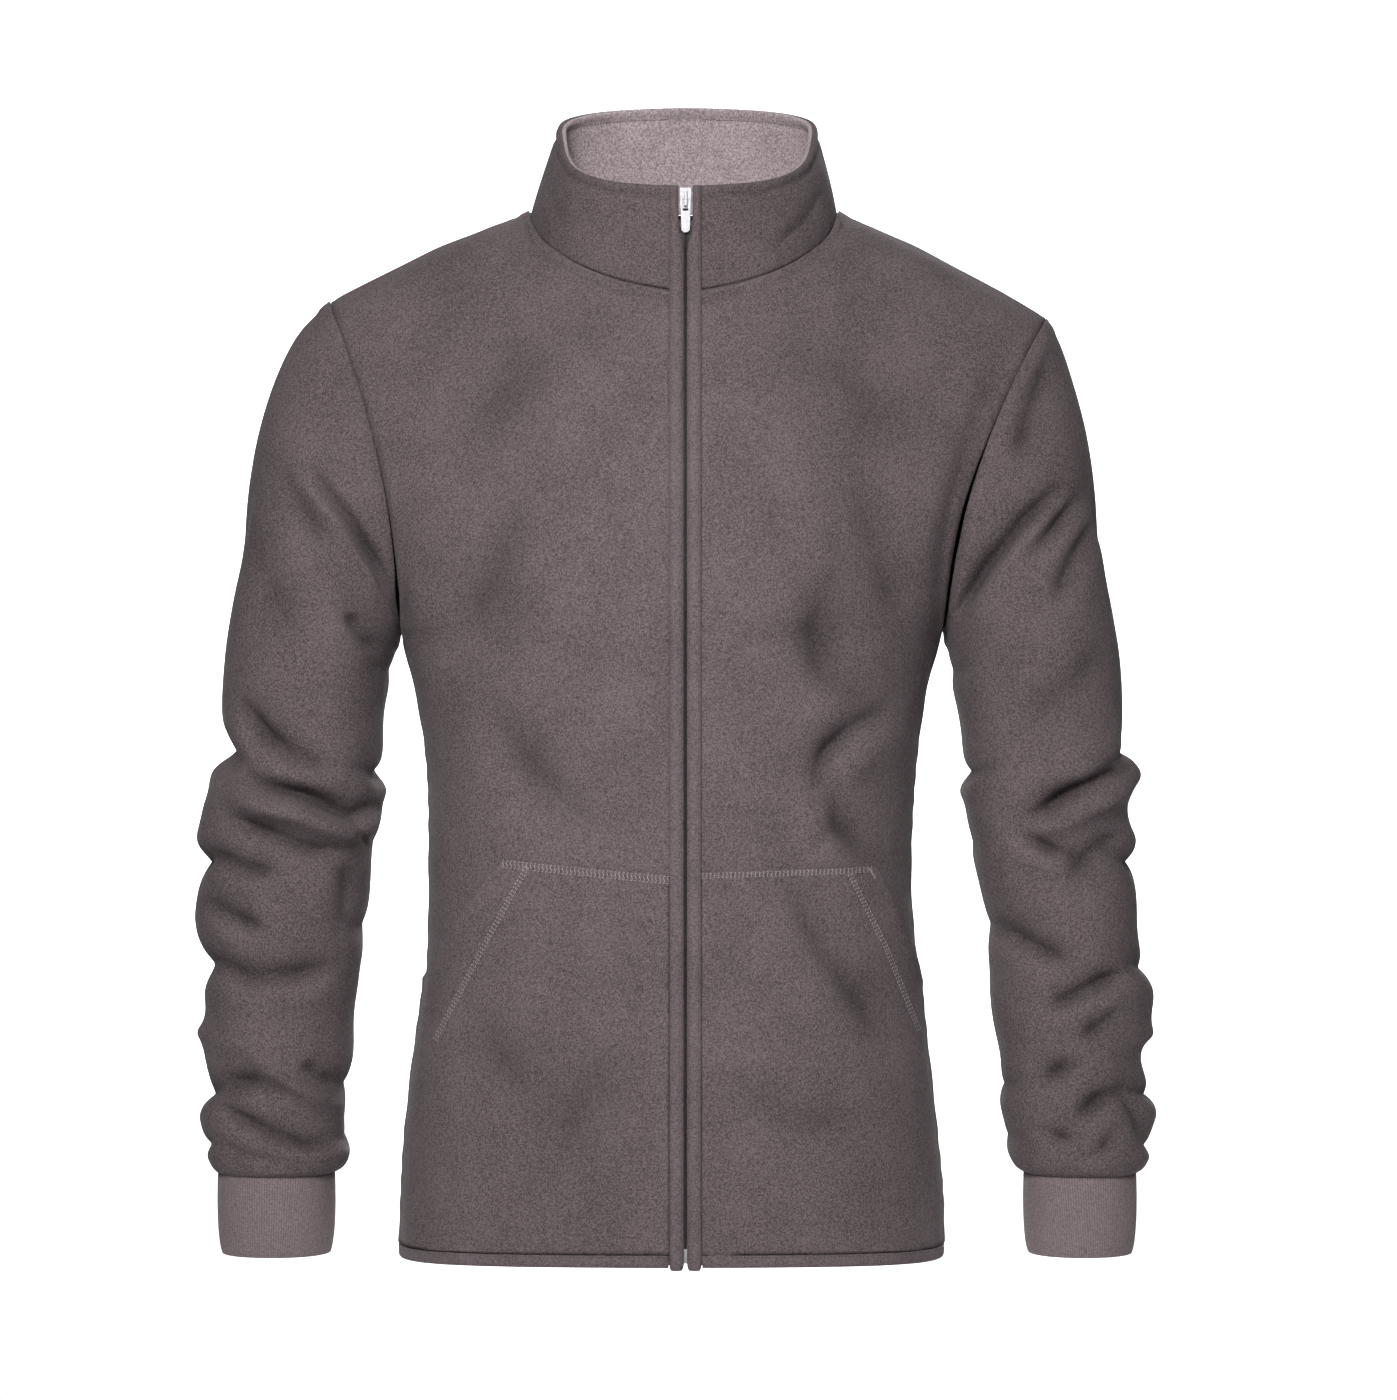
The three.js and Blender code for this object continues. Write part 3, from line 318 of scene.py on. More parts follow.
def make_knit_group():
    """Fine knit: columns of stitches round the piece, along its UV map in millimetres."""
    group, nodes, links, entry, out = new_group(
        "fine_knit",
        [("Pitch", "NodeSocketFloat", 1.5)],
        [("Shade", "NodeSocketFloat"), ("Height", "NodeSocketFloat")],
    )
    uv = nodes.new("ShaderNodeTexCoord").outputs["UV"]
    parts = nodes.new("ShaderNodeSeparateXYZ")
    links.new(uv, parts.inputs[0])
    across = math_node(nodes, links, "DIVIDE", parts.outputs["X"], entry.outputs["Pitch"])
    along = math_node(nodes, links, "DIVIDE", parts.outputs["Y"], entry.outputs["Pitch"])
    turn = 2 * math.pi
    ribs = math_node(nodes, links, "SINE", math_node(nodes, links, "MULTIPLY", across, turn), 0.0)
    row_turn = math_node(nodes, links, "MULTIPLY", along, turn * ROW_DENSITY)
    rows = math_node(nodes, links, "SINE", row_turn, 0.0)
    coords = nodes.new("ShaderNodeTexCoord").outputs["Object"]
    melange = noise_node(nodes, links, coords, MELANGE_SCALE, 3.0, 0.7)
    rib_part = math_node(nodes, links, "MULTIPLY", ribs, RIB_SHARE)
    row_part = math_node(nodes, links, "MULTIPLY", rows, ROW_SHARE)
    relief = math_node(nodes, links, "ADD", rib_part, row_part)
    mixed = math_node(nodes, links, "ADD", relief, melange)
    links.new(spread(nodes, links, mixed, *KNIT_SHADE), out.inputs["Shade"])
    links.new(mixed, out.inputs["Height"])
    return group


NAP = make_nap_group()
KNIT = make_knit_group()


def with_painted_shade(nodes, links, colour):
    """The colour with painted shade: darker in the creases that the mesh's hollow mask marks."""
    mask = nodes.new("ShaderNodeAttribute")
    mask.attribute_name = "hollow"
    keep = math_node(nodes, links, "MULTIPLY", mask.outputs["Fac"], -PAINTED_SHADE_DARKENING)
    share = math_node(nodes, links, "ADD", keep, 1.0)
    scaled = nodes.new("ShaderNodeVectorMath")
    scaled.operation = "SCALE"
    links.new(colour, scaled.inputs[0])
    links.new(share, scaled.inputs["Scale"])
    return scaled.outputs[0]


def material(name, dark, light, group, values, bump, sheen, rough=0.95, metal=0.0):
    made = bpy.data.materials.new(name)
    made.use_nodes = True
    nodes, links = made.node_tree.nodes, made.node_tree.links
    shader = nodes["Principled BSDF"]
    shader.inputs["Roughness"].default_value = rough
    shader.inputs["Metallic"].default_value = metal
    shader.inputs["Sheen Weight"].default_value = sheen
    shader.inputs["Sheen Roughness"].default_value = 0.45
    shader.inputs["Specular IOR Level"].default_value = 0.2 if metal == 0 else 0.5
    pattern = nodes.new("ShaderNodeGroup")
    pattern.node_tree = group
    for label, value in values.items():
        pattern.inputs[label].default_value = value
    blend = nodes.new("ShaderNodeMix")
    blend.data_type = "RGBA"
    links.new(pattern.outputs["Shade"], blend.inputs["Factor"])
    blend.inputs["A"].default_value = (*dark, 1)
    blend.inputs["B"].default_value = (*light, 1)
    # The base colour carries painted shade in the creases.
    links.new(with_painted_shade(nodes, links, blend.outputs["Result"]), shader.inputs["Base Color"])
    relief = nodes.new("ShaderNodeBump")
    relief.inputs["Strength"].default_value = bump[0]
    relief.inputs["Distance"].default_value = bump[1]
    links.new(pattern.outputs["Height"], relief.inputs["Height"])
    links.new(relief.outputs["Normal"], shader.inputs["Normal"])
    return made


FLEECE = material(
    "dark_fleece", (0.075, 0.058, 0.061), (0.205, 0.164, 0.171), NAP,
    {"Grain": 950.0, "Clump": 420.0}, (0.5, 0.0011), 0.06,
)
BINDING = material(
    "folded_binding", (0.090, 0.070, 0.074), (0.215, 0.173, 0.181), NAP,
    {"Grain": 1100.0, "Clump": 420.0}, (0.4, 0.0009), 0.06,
)
PALE = material(
    "pale_collar_fleece", (0.31, 0.245, 0.258), (0.72, 0.61, 0.635), NAP,
    {"Grain": 800.0, "Clump": 420.0}, (0.6, 0.0012), 0.06,
)
CUFF = material(
    "cuff_knit", (0.150, 0.117, 0.122), (0.335, 0.270, 0.280), KNIT,
    {"Pitch": 1.5}, (0.45, 0.0008), 0.06,
)
SEWING = material(
    "pale_thread", (0.30, 0.25, 0.255), (0.52, 0.45, 0.46), NAP,
    {"Grain": 2500.0, "Clump": 1500.0}, (0.3, 0.0003), 0.1, rough=0.7,
)
DARK_SEWING = material(
    "dark_thread", (0.035, 0.028, 0.030), (0.07, 0.055, 0.058), NAP,
    {"Grain": 2500.0, "Clump": 1500.0}, (0.3, 0.0003), 0.1, rough=0.7,
)
TEETH = material(
    "dark_nylon", (0.014, 0.012, 0.013), (0.060, 0.050, 0.052), NAP,
    {"Grain": 1500.0, "Clump": 600.0}, (0.15, 0.0002), 0.0, rough=0.45,
)
METAL = material(
    "plated_metal", (0.40, 0.39, 0.41), (0.52, 0.51, 0.53), NAP,
    {"Grain": 600.0, "Clump": 200.0}, (0.08, 0.0002), 0.0, rough=0.42, metal=0.6,
)

TRIM = (
    ("collar_outer", "collar", FLEECE, "fleece", "collar"),
    ("collar_inner", "collar", PALE, "collar_lining", "collar"),
    ("cuff_right", "right", CUFF, "cuff_knit", "cuff"),
    ("cuff_left", "left", CUFF, "cuff_knit", "cuff"),
    ("front_edge_right", "body", BINDING, "binding", "edge"),
    ("front_edge_left", "body", BINDING, "binding", "edge"),
    ("hem_band", "body", BINDING, "binding", "hem"),
)
SHELLS = {
    "collar": (FINE, RIM_ANGLE),
    "cuff": (COARSE, RIM_ANGLE),
    "edge": (COARSE, FOLD_ANGLE),
    "hem": (COARSE, FOLD_ANGLE),
}


# Cloth shells
def merged_copy(node):
    """The node's own mesh, with its points merged and its triangles joined to quads."""
    bm = bmesh.new()
    bm.from_mesh(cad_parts[node].data)
    bmesh.ops.remove_doubles(bm, verts=bm.verts, dist=2e-6)
    bmesh.ops.join_triangles(
        bm, faces=bm.faces,
        angle_face_threshold=math.radians(40), angle_shape_threshold=math.radians(60),
    )
    return bm


def crease_rims(bm, angle):
    """Keep hard edges hard, and tell the rim's faces from those still without a side."""
    layer = bm.edges.layers.float.new("crease_edge")
    for edge in bm.edges:
        if edge.is_manifold and edge.calc_face_angle() > math.radians(angle):
            edge[layer] = 1.0
    for face in bm.faces:
        face.material_index = RIM if is_rim(face, layer) else UNKNOWN


def is_rim(face, layer):
    """A rim's face is as narrow as the wall is thick and runs along a hard edge."""
    narrow = [edge.calc_length() < RIM_WIDEST for edge in face.edges]
    return any(narrow) and any(edge[layer] for edge, short in zip(face.edges, narrow) if not short)


def name_sides(bm, axis):
    """Flood the faces on each side of the rim, and tell the outer side by where it faces."""
    waiting = {face for face in bm.faces if face.material_index == UNKNOWN}
    while waiting:
        patch = [waiting.pop()]
        for face in patch:
            for edge in face.edges:
                for other in edge.link_faces:
                    if other in waiting:
                        waiting.remove(other)
                        patch.append(other)
        centres = np.array([face.calc_center_median() for face in patch])
        normals = np.array([face.normal * face.calc_area() for face in patch])
        away = centres - axis_points(axis, centres)
        facing = np.einsum("ij,ij->", away, normals)
        for face in patch:
            face.material_index = OUTER if facing > 0 else INNER


def smoothed(name, bm, levels):
    """A mesh of the bmesh under Catmull-Clark subdivision, with the modifier applied."""
    mesh = bpy.data.meshes.new(name + "_cage")
    for _ in range(3):
        mesh.materials.append(None)
    bm.to_mesh(mesh)
    bm.free()
    cage = bpy.data.objects.new(name + "_cage", mesh)
    bpy.context.scene.collection.objects.link(cage)
    subdivision = cage.modifiers.new("smooth", "SUBSURF")
    subdivision.levels = levels
    subdivision.render_levels = levels
    graph = bpy.context.evaluated_depsgraph_get()
    result = bpy.data.meshes.new_from_object(cage.evaluated_get(graph))
    bpy.data.objects.remove(cage)
    bpy.data.meshes.remove(mesh)
    result.name = name
    return result


def read_points(mesh):
    points = np.empty(len(mesh.vertices) * 3)
    mesh.vertices.foreach_get("co", points)
    return points.reshape(-1, 3)


def outward_normals(mesh):
    """The wall's own outward direction at each vertex, the same on both of its sides."""
    count = len(mesh.polygons)
    normals, areas = np.empty(count * 3), np.empty(count)
    sides, totals = np.empty(count, dtype=np.int32), np.empty(count, dtype=np.int32)
    mesh.polygons.foreach_get("normal", normals)
    mesh.polygons.foreach_get("area", areas)
    mesh.polygons.foreach_get("material_index", sides)
    mesh.polygons.foreach_get("loop_total", totals)
    weight = areas * np.array([1.0, 0.0, -1.0])[sides]
    vectors = normals.reshape(-1, 3) * weight[:, None]
    corners = np.empty(len(mesh.loops), dtype=np.int32)
    mesh.loops.foreach_get("vertex_index", corners)
    total = np.zeros((len(mesh.vertices), 3))
    np.add.at(total, corners, np.repeat(vectors, totals, axis=0))
    ends = np.empty(len(mesh.edges) * 2, dtype=np.int32)
    mesh.edges.foreach_get("vertices", ends)
    first, second = ends.reshape(-1, 2).T
    for _ in range(6):
        empty = np.linalg.norm(total, axis=1) < TINY
        shared = np.zeros_like(total)
        np.add.at(shared, first, total[second])
        np.add.at(shared, second, total[first])
        total[empty] = shared[empty]
    length = np.linalg.norm(total, axis=1)
    return total / np.where(length < TINY, 1, length)[:, None]


def write_points(mesh, points):
    mesh.vertices.foreach_set("co", points.reshape(-1))
    mesh.update()


def axis_points(axis, points):
    """The nearest level point of the hollow's axis to each point of the cloth."""
    stops = np.array(AXES[axis])[::-1]
    z = points[:, 2]
    level = np.clip(z, stops[0, 2], stops[-1, 2])
    x = np.interp(level, stops[:, 2], stops[:, 0])
    y = np.interp(level, stops[:, 2], stops[:, 1])
    return np.stack([x, y, level], axis=1)


def crease_amount(flat, creases):
    """Depth moved at each flat point, in millimetres, summed over a table of creases."""
    total = np.zeros(len(flat))
    for points, width, depth, lip in creases:
        route = np.array(points, float)
        reach = width * CREASE_REACH
        low, high = route.min(axis=0) - reach, route.max(axis=0) + reach
        near = np.all((flat > low) & (flat < high), axis=1)
        if not near.any():
            continue
        spot = flat[near]
        steps = np.diff(route, axis=0)
        lengths = np.linalg.norm(steps, axis=1)
        ends = np.concatenate([[0], np.cumsum(lengths)])
        best = np.full(len(spot), np.inf)
        share = np.zeros(len(spot))
        signed = np.zeros(len(spot))
        for k, step in enumerate(steps):
            offset = spot - route[k]
            t = np.clip(offset @ step / lengths[k] ** 2, 0, 1)
            distance = np.linalg.norm(offset - t[:, None] * step, axis=1)
            closer = distance < best
            side = (offset[:, 0] * step[1] - offset[:, 1] * step[0]) / lengths[k]
            best = np.where(closer, distance, best)
            signed = np.where(closer, side, signed)
            share = np.where(closer, (ends[k] + t * lengths[k]) / ends[-1], share)
        fade = np.sin(np.pi * (share * (1 - 2 * CREASE_ENDS) + CREASE_ENDS)) ** CREASE_FADE
        uneven = 1 + CREASE_UNEVEN * np.sin(share * CREASE_BEAT + route[0, 0])
        away = np.sqrt((best / width) ** 2 + CREASE_ROUND**2)
        hollow = np.exp(CREASE_FALL * (CREASE_ROUND - away))
        beyond = best**2 - signed**2
        past_roll = (signed * np.sign(lip or 1) - ROLL_AT * width) / (ROLL_WIDTH * width)
        roll = np.exp(-(past_roll**2) - beyond / width**2)
        total[near] -= CREASE_SCALE * depth * fade * uneven * (hollow - abs(lip) * roll)
    return total


def wavy(points):
    """A slight unevenness of worn cloth, in millimetres."""
    x, y, z = (points * 1000).T
    return (
        0.55 * np.sin(x / 17 + 1.3 * np.sin(z / 41)) * np.sin(z / 23 + y / 31)
        + 0.45 * np.sin(x / 31 - z / 37 + 0.8) * np.cos(y / 27 + z / 53)
    )


def step_up(value, low, high):
    """0 below low, 1 above high, and smooth between."""
    t = np.clip((value - low) / (high - low), 0, 1)
    return t * t * (3 - 2 * t)


def free_share(points, axis):
    """How far the cloth may move, from 0 where another piece holds it to 1."""
    x, y, z = (points * 1000).T
    if axis in ("right", "left"):
        return step_up(z, *CUFF_HOLD)
    front = step_up(MID_Y * 1000 - y, *FRONT_TURN)
    zip_share = step_up(np.abs(x), *ZIP_HOLD)
    return step_up(z, *HEM_HOLD) * (1 - front * (1 - zip_share))


def creased(points, out, axis):
    """How far the creases of the side that it faces move each point, in millimetres."""
    mm = points * 1000
    across = mm[:, [0, 2]]
    side = np.stack([mm[:, 1] - MID_Y * 1000, mm[:, 2]], axis=1)
    front = np.clip(-out[:, 1] * FACING_GAIN, 0, 1)
    back = np.clip(out[:, 1] * FACING_GAIN, 0, 1)
    amount = crease_amount(across, FRONT_CREASES) * front
    amount += crease_amount(across, BACK_CREASES) * back
    if axis in ("right", "left"):
        sideways = out[:, 0] * (-1 if axis == "right" else 1)
        amount += crease_amount(side, SIDE_CREASES) * np.clip(sideways, 0, 1) ** SIDE_POWER
        amount += crease_amount(side, INNER_CREASES) * np.clip(-sideways, 0, 1) ** SIDE_POWER
    return amount + wavy(points)


def kd_tree(points):
    tree = KDTree(len(points))
    for k, point in enumerate(points):
        tree.insert(point, k)
    tree.balance()
    return tree


def distances(points, tree):
    return np.array([tree.find(point)[2] for point in points]) * 1000


def seam_line(mesh, others):
    """A tree of the mesh's points that lie beside other pieces."""
    points = read_points(mesh)
    beside = kd_tree(np.concatenate([read_points(other) for other in others]))
    return kd_tree(points[distances(points, beside) < SEAM_REACH])


def ridge(distance, centre, width, height):
    return height * np.exp(-(((distance - centre) / width) ** 2))


def add_piece(name, mesh, finish, body="jacket"):
    mesh.materials.clear()
    mesh.materials.append(finish)
    mesh.shade_smooth()
    piece = bpy.data.objects.new(name, mesh)
    bpy.context.scene.collection.objects.link(piece)
    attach(piece, body)
    return piece


def make_shell(node, axis, levels, rim_angle):
    bm = merged_copy(node)
    crease_rims(bm, rim_angle)
    name_sides(bm, axis)
    return smoothed(node + "_cloth", bm, levels)


def mark_painted_crease_shade(mesh, amount):
    """A mask of painted shade for the creases' hollows, where less light falls: the deeper the crease,
    the darker its colour is painted.
    """
    layer = mesh.attributes.new("hollow", "FLOAT", "POINT")
    layer.data.foreach_set("value", np.clip(-amount / PAINTED_SHADE_DEPTH, 0, 1).astype(np.float32))


def panel_points(node, axis, meshes):
    """The shell's points, moved by its creases and by what its seams do to the cloth beside them."""
    mesh = meshes[node]
    points = read_points(mesh)
    out = outward_normals(mesh)
    amount = creased(points, out, axis) * free_share(points, axis)
    away = distances(points, seam_line(mesh, [meshes[other] for other in SEWN_TO[node]]))
    pucker = 1 + PUCKER * np.sin(points[:, 2] * 1000 / 3.7 + 3 * np.sin(points[:, 2] * 47))
    calm = SEAM_LEAST + (1 - SEAM_LEAST) * step_up(away, *SEAM_CALM)
    amount = amount * calm + ridge(away, *SEAM_ROLL) * pucker
    top = step_up(points[:, 2] * 1000, *SHOULDER_TOP) * np.clip(out[:, 2] * 1.3, 0, 1)
    amount += ridge(away, 0, SHOULDER_WIDTH, SHOULDER_LEVEL[axis]) * top
    if axis == "body":
        in_front = points[:, 1] < MID_Y - WELT_FRONT
        amount += ridge(np.abs(points[:, 0]) * 1000, *WELT_ROLL) * in_front
        neck = distances(points, seam_line(mesh, [meshes["collar_outer"]]))
        amount *= step_up(neck, *NECK_CALM)
        amount += ridge(neck, *NECK_ROLL) + ridge(neck, *NECK_GROOVE)
    # Painted shade: the creases' depth is kept as a mask that darkens the cloth's colour in its
    # hollows.
    mark_painted_crease_shade(mesh, amount)
    return points + out * amount[:, None] * MM


def make_panels(meshes):
    pieces = {}
    for node, _, cut in PANELS:
        piece = add_piece(node + "_cloth", meshes[node], FLEECE)
        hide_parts(node)
        pieces[node] = piece
    return pieces


# Pockets are cut from the front's own outer face and moved out. Corners are (x, z) in millimetres,
# and a lift has the form of a row of creases.
POCKET_OUT = 0.35 * MM
POCKET_THICK = 1.5 * MM
POCKET_BOTTOM = -0.7045
POCKET_IN = 0.0112
POCKET_TOPS = {
    "right": [(-POCKET_IN * 1000, -456), (-122, -446)],
    "left": [(POCKET_IN * 1000, -454), (126, -451)],
}
POCKET_OPENINGS = {
    "right": [(-122, -446), (-151, -489), (-184, -538)],
    "left": [(126, -451), (147, -498), (170, -558)],
}
POCKET_ROWS = {
    "right": [(-107, -451), (-133, -498), (-170, -568)],
    "left": [(111, -456), (136, -506), (160, -565)],
}
POCKET_LIFTS = {
    "right": ([(-122, -446), (-151, -489), (-168, -514)], 8, -1.4, 0),
    "left": ([(126, -451), (147, -498), (160, -532)], 8, -1.4, 0),
}
BARTACK = [(123, -453), (127, -459)]
HEM_CLEAR = 0.5
HEM_EASE = 18

# The bindings of the front edges, in millimetres
WELT_LIP = 1.0
WELT_OUT = 10.8
WELT_MIDDLE = 6.1
WELT_HALF = 4.8
WELT_BOTTOM = -718
WELT_TAPER = 6
WELT_NARROW = 0.8
WELT_CROWN = 1.3
WELT_CLOSED = (25, 40)
WELT_LEVEL = 4

# The collar, as (drop below its rim, width, height) in millimetres
COLLAR_STITCH = 8.6
COLLAR_RIM = (3.6, 3.0, 0.9)
COLLAR_GROOVE = (COLLAR_STITCH, 1.9, -1.2)
COLLAR_FOOT = (74, 9, 1.2)
COLLAR_BESIDE = (14.5, 2.6, 0.9)
COLLAR_FREE = (12, 30)
CUFF_RADIUS = 41.4

# Stitches, as (pitch, length, width) in millimetres
TOP_DASHES = (2.7, 1.7, 0.6)
TOP_BANDS = {"right": 4.6, "left": 3.0}
TOP_START = 0.9
TOP_SLANT = 1.2
ROW_DASHES = (2.6, 1.9, 0.7)
ROW_CROSSES = (2.6, 2.6, 0.45)
ROW_GAP = 2.7
ROW_SLANT = 0.8
BARTACK_STITCHES = (0.9, 2.2, 0.7)
HEM_STITCHES = (2.4, 1.5, 0.55)
HEM_STITCH_IN = 1.3
HEM_STITCHED = range(14, 170, 6)
COLLAR_STITCH_SIZE = (1.8 * MM, 0.6 * MM)
COLLAR_STITCH_TURN = 0.027
COLLAR_STITCH_FROM = 0.012

# Zip teeth, in metres
TEETH_PITCH = 1.35 * MM
TEETH_SIZE = (2.6 * MM, 0.95 * MM)
TEETH_ASIDE = 0.45 * MM
TEETH_SUNK = 0.1 * MM
TEETH_SLANT = 0.18


def outer_side(mesh):
    """A bmesh of the side of a wall that faces away from its axis."""
    bm = bmesh.new()
    bm.from_mesh(mesh)
    gone = [face for face in bm.faces if face.material_index != OUTER]
    bmesh.ops.delete(bm, geom=gone, context="FACES")
    return bm


def cut_beyond(bm, point, outward):
    geometry = bm.verts[:] + bm.edges[:] + bm.faces[:]
    bmesh.ops.bisect_plane(bm, geom=geometry, plane_co=point, plane_no=outward, clear_outer=True)


def top_line(mesh, step=8):
    """Height of the mesh's upper edge over x, both in millimetres, on its front half."""
    points = read_points(mesh)
    points = points[points[:, 1] < MID_Y] * 1000
    sector = np.round(points[:, 0] / step).astype(int)
    places = np.unique(sector)
    return places * step, np.array([points[sector == k, 2].max() for k in places])


def make_pocket(side, bm, hem):
    sign = -1 if side == "right" else 1
    cut_beyond(bm, (sign * POCKET_IN, 0, 0), (-sign, 0, 0))
    cut_beyond(bm, (0, 0, POCKET_BOTTOM), (0, 0, -1))
    corners = POCKET_TOPS[side][:1] + POCKET_OPENINGS[side]
    for (x0, z0), (x1, z1) in zip(corners, corners[1:]):
        normal = Vector((-(z1 - z0), 0, x1 - x0)) * sign
        cut_beyond(bm, (x0 * MM, 0, z0 * MM), normal)
    bm.normal_update()
    flat = np.array([(vert.co.x * 1000, vert.co.z * 1000) for vert in bm.verts])
    lift = crease_amount(flat, [POCKET_LIFTS[side]]) * MM
    bottom = POCKET_BOTTOM * 1000
    for vert, up in zip(bm.verts, lift):
        vert.co += vert.normal * (POCKET_OUT + up)
        low = float(step_up(-vert.co.z * 1000, -bottom - HEM_EASE, -bottom))
        drop = np.interp(vert.co.x * 1000, *hem) + HEM_CLEAR - bottom
        vert.co.z += low * drop * MM
    faces = bm.faces[:]
    bmesh.ops.solidify(bm, geom=faces, thickness=-POCKET_THICK)
    bmesh.ops.recalc_face_normals(bm, faces=bm.faces)
    mesh = bpy.data.meshes.new("pocket_cloth")
    bm.to_mesh(mesh)
    bm.free()
    piece = add_piece(f"pocket_{side}_cloth", mesh, FLEECE)
    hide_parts(f"pocket_{side}")
    return piece


def collar_angle(points):
    return np.arctan2(points[:, 0], MID_Y - points[:, 1])


def rim_heights(points, sectors=72):
    """The collar's rim: angles round it and heights over them."""
    sector = np.floor((collar_angle(points) / (2 * np.pi) + 0.5) * sectors).astype(int) % sectors
    height = np.full(sectors, -1.0)
    np.maximum.at(height, sector, points[:, 2])
    return (np.arange(sectors) + 0.5) / sectors * 2 * np.pi - np.pi, height


def dress_collar(mesh, outer):
    """A rolled rim and its stitched groove on the side that shows, and a few soft creases."""
    points = read_points(mesh)
    out = outward_normals(mesh)
    facing = np.empty(len(points) * 3)
    mesh.vertex_normals.foreach_get("vector", facing)
    shown = np.einsum("ij,ij->i", facing.reshape(-1, 3), out) * (1 if outer else -1) > 0.2
    rim = np.interp(collar_angle(points), *rim_heights(points), period=2 * np.pi)
    drop = (rim - points[:, 2]) * 1000
    aside = np.abs(points[:, 0]) * 1000
    clear = step_up(aside, *COLLAR_FREE)
    roll = ridge(drop, *COLLAR_RIM) + ridge(drop, *COLLAR_GROOVE) + ridge(drop, *COLLAR_FOOT)
    beside = ridge(aside, *COLLAR_BESIDE) * (points[:, 1] < MID_Y)
    amount = creased(points, out, "collar") * clear
    if outer:
        amount += roll * clear * shown + beside * shown
    else:
        amount -= roll * shown
    write_points(mesh, points + out * amount[:, None] * MM)


def dress_edge(mesh):
    """Close the binding below the pull, round it like a cord and taper its lower end."""
    points = read_points(mesh)
    out = outward_normals(mesh)
    side = np.sign(points[:, 0].mean())
    x, y, z = points.T * 1000
    lip = np.full(len(z), WELT_LIP)
    sector = np.round(z / WELT_LEVEL).astype(int)
    for k in np.unique(sector):
        lip[sector == k] = np.abs(x[sector == k]).min()
    inner = np.clip((WELT_OUT - np.abs(x)) / (WELT_OUT - lip), 0, 1)
    x = x - side * inner * np.maximum(lip - WELT_LIP, 0) * step_up(-z, *WELT_CLOSED)
    u = np.clip((np.abs(x) - WELT_MIDDLE) / WELT_HALF, -1, 1)
    y = y - WELT_CROWN * (1 - u**2) * (out[:, 1] < -0.3)
    end = np.clip((WELT_BOTTOM + WELT_TAPER - z) / WELT_TAPER, 0, 1)
    narrow = np.sqrt(1 - WELT_NARROW * end**2)
    x = side * WELT_MIDDLE + (x - side * WELT_MIDDLE) * narrow
    write_points(mesh, np.stack([x, y, z], axis=1) * MM)


def make_trim(meshes):
    pieces = {}
    for node, _, finish, slot, cut in TRIM:
        if cut == "collar":
            dress_collar(meshes[node], node == "collar_outer")
        elif cut == "edge":
            dress_edge(meshes[node])
        piece = add_piece(node + "_cloth", meshes[node], finish)
        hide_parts(node)
        pieces[node] = piece
    return pieces


def map_cuff(piece, axis):
    """UV in millimetres: round the cuff and up it."""
    mesh = piece.data
    layer = mesh.uv_layers.new(name="round")
    points = read_points(mesh)
    centre = axis_points(axis, points)
    angle = np.arctan2(points[:, 1] - centre[:, 1], points[:, 0] - centre[:, 0])
    loops = np.empty(len(mesh.loops), dtype=np.int32)
    mesh.loops.foreach_get("vertex_index", loops)
    uv = np.stack([angle[loops] * CUFF_RADIUS, points[loops, 2] * 1000], axis=1)
    layer.data.foreach_set("uv", uv.reshape(-1))


# Sewing
def tree_of(pieces):
    bm = bmesh.new()
    for piece in pieces:
        bm.from_mesh(piece.data)
    tree = BVHTree.FromBMesh(bm)
    bm.free()
    return tree


def on_cloth(tree, x, z):
    """The point and normal where a level ray from the front at x and z first meets the cloth."""
    hit, normal, _, _ = tree.ray_cast(Vector((x * MM, FRONT_FROM, z * MM)), Vector((0, 1, 0)))
    return hit, normal


def add_stitch(bm, place, along, normal, length, width):
    side = along.cross(normal).normalized()
    up = side.cross(along).normalized()
    turn = Matrix((along.normalized(), side, up)).transposed().to_4x4()
    size = Matrix.Diagonal((length / 2, width / 2, width / 2, 1))
    bmesh.ops.create_icosphere(
        bm, subdivisions=1, radius=1.0, matrix=Matrix.Translation(place) @ turn @ size
    )


def route_points(route, pitch):
    """Evenly spaced points along a run of straight stretches, with their directions."""
    found = []
    carry = 0.0
    for (x0, z0), (x1, z1) in zip(route, route[1:]):
        length = math.hypot(x1 - x0, z1 - z0)
        t = carry
        while t < length:
            share = t / length
            found.append((x0 + (x1 - x0) * share, z0 + (z1 - z0) * share,
                          (x1 - x0) / length, (z1 - z0) / length))
            t += pitch
        carry = t - length
    return found


def sew(bm, tree, route, stitch, offset=0.0, slant=0.0):
    """Stitches on the cloth along a route moved to its side by offset, each turned by slant."""
    pitch, length, width = stitch
    for x, z, dx, dz in route_points(route, pitch):
        place, normal = on_cloth(tree, x - dz * offset, z + dx * offset)
        if place is None:
            continue
        run = Vector((dx * math.cos(slant) - dz * math.sin(slant), 0,
                      dz * math.cos(slant) + dx * math.sin(slant)))
        run -= normal * run.dot(normal)
        add_stitch(bm, place, run, normal, length * MM, width * MM)


def finish_sewing(name, bm, finish):
    mesh = bpy.data.meshes.new(name)
    bm.to_mesh(mesh)
    bm.free()
    piece = add_piece(name, mesh, finish)
    return piece


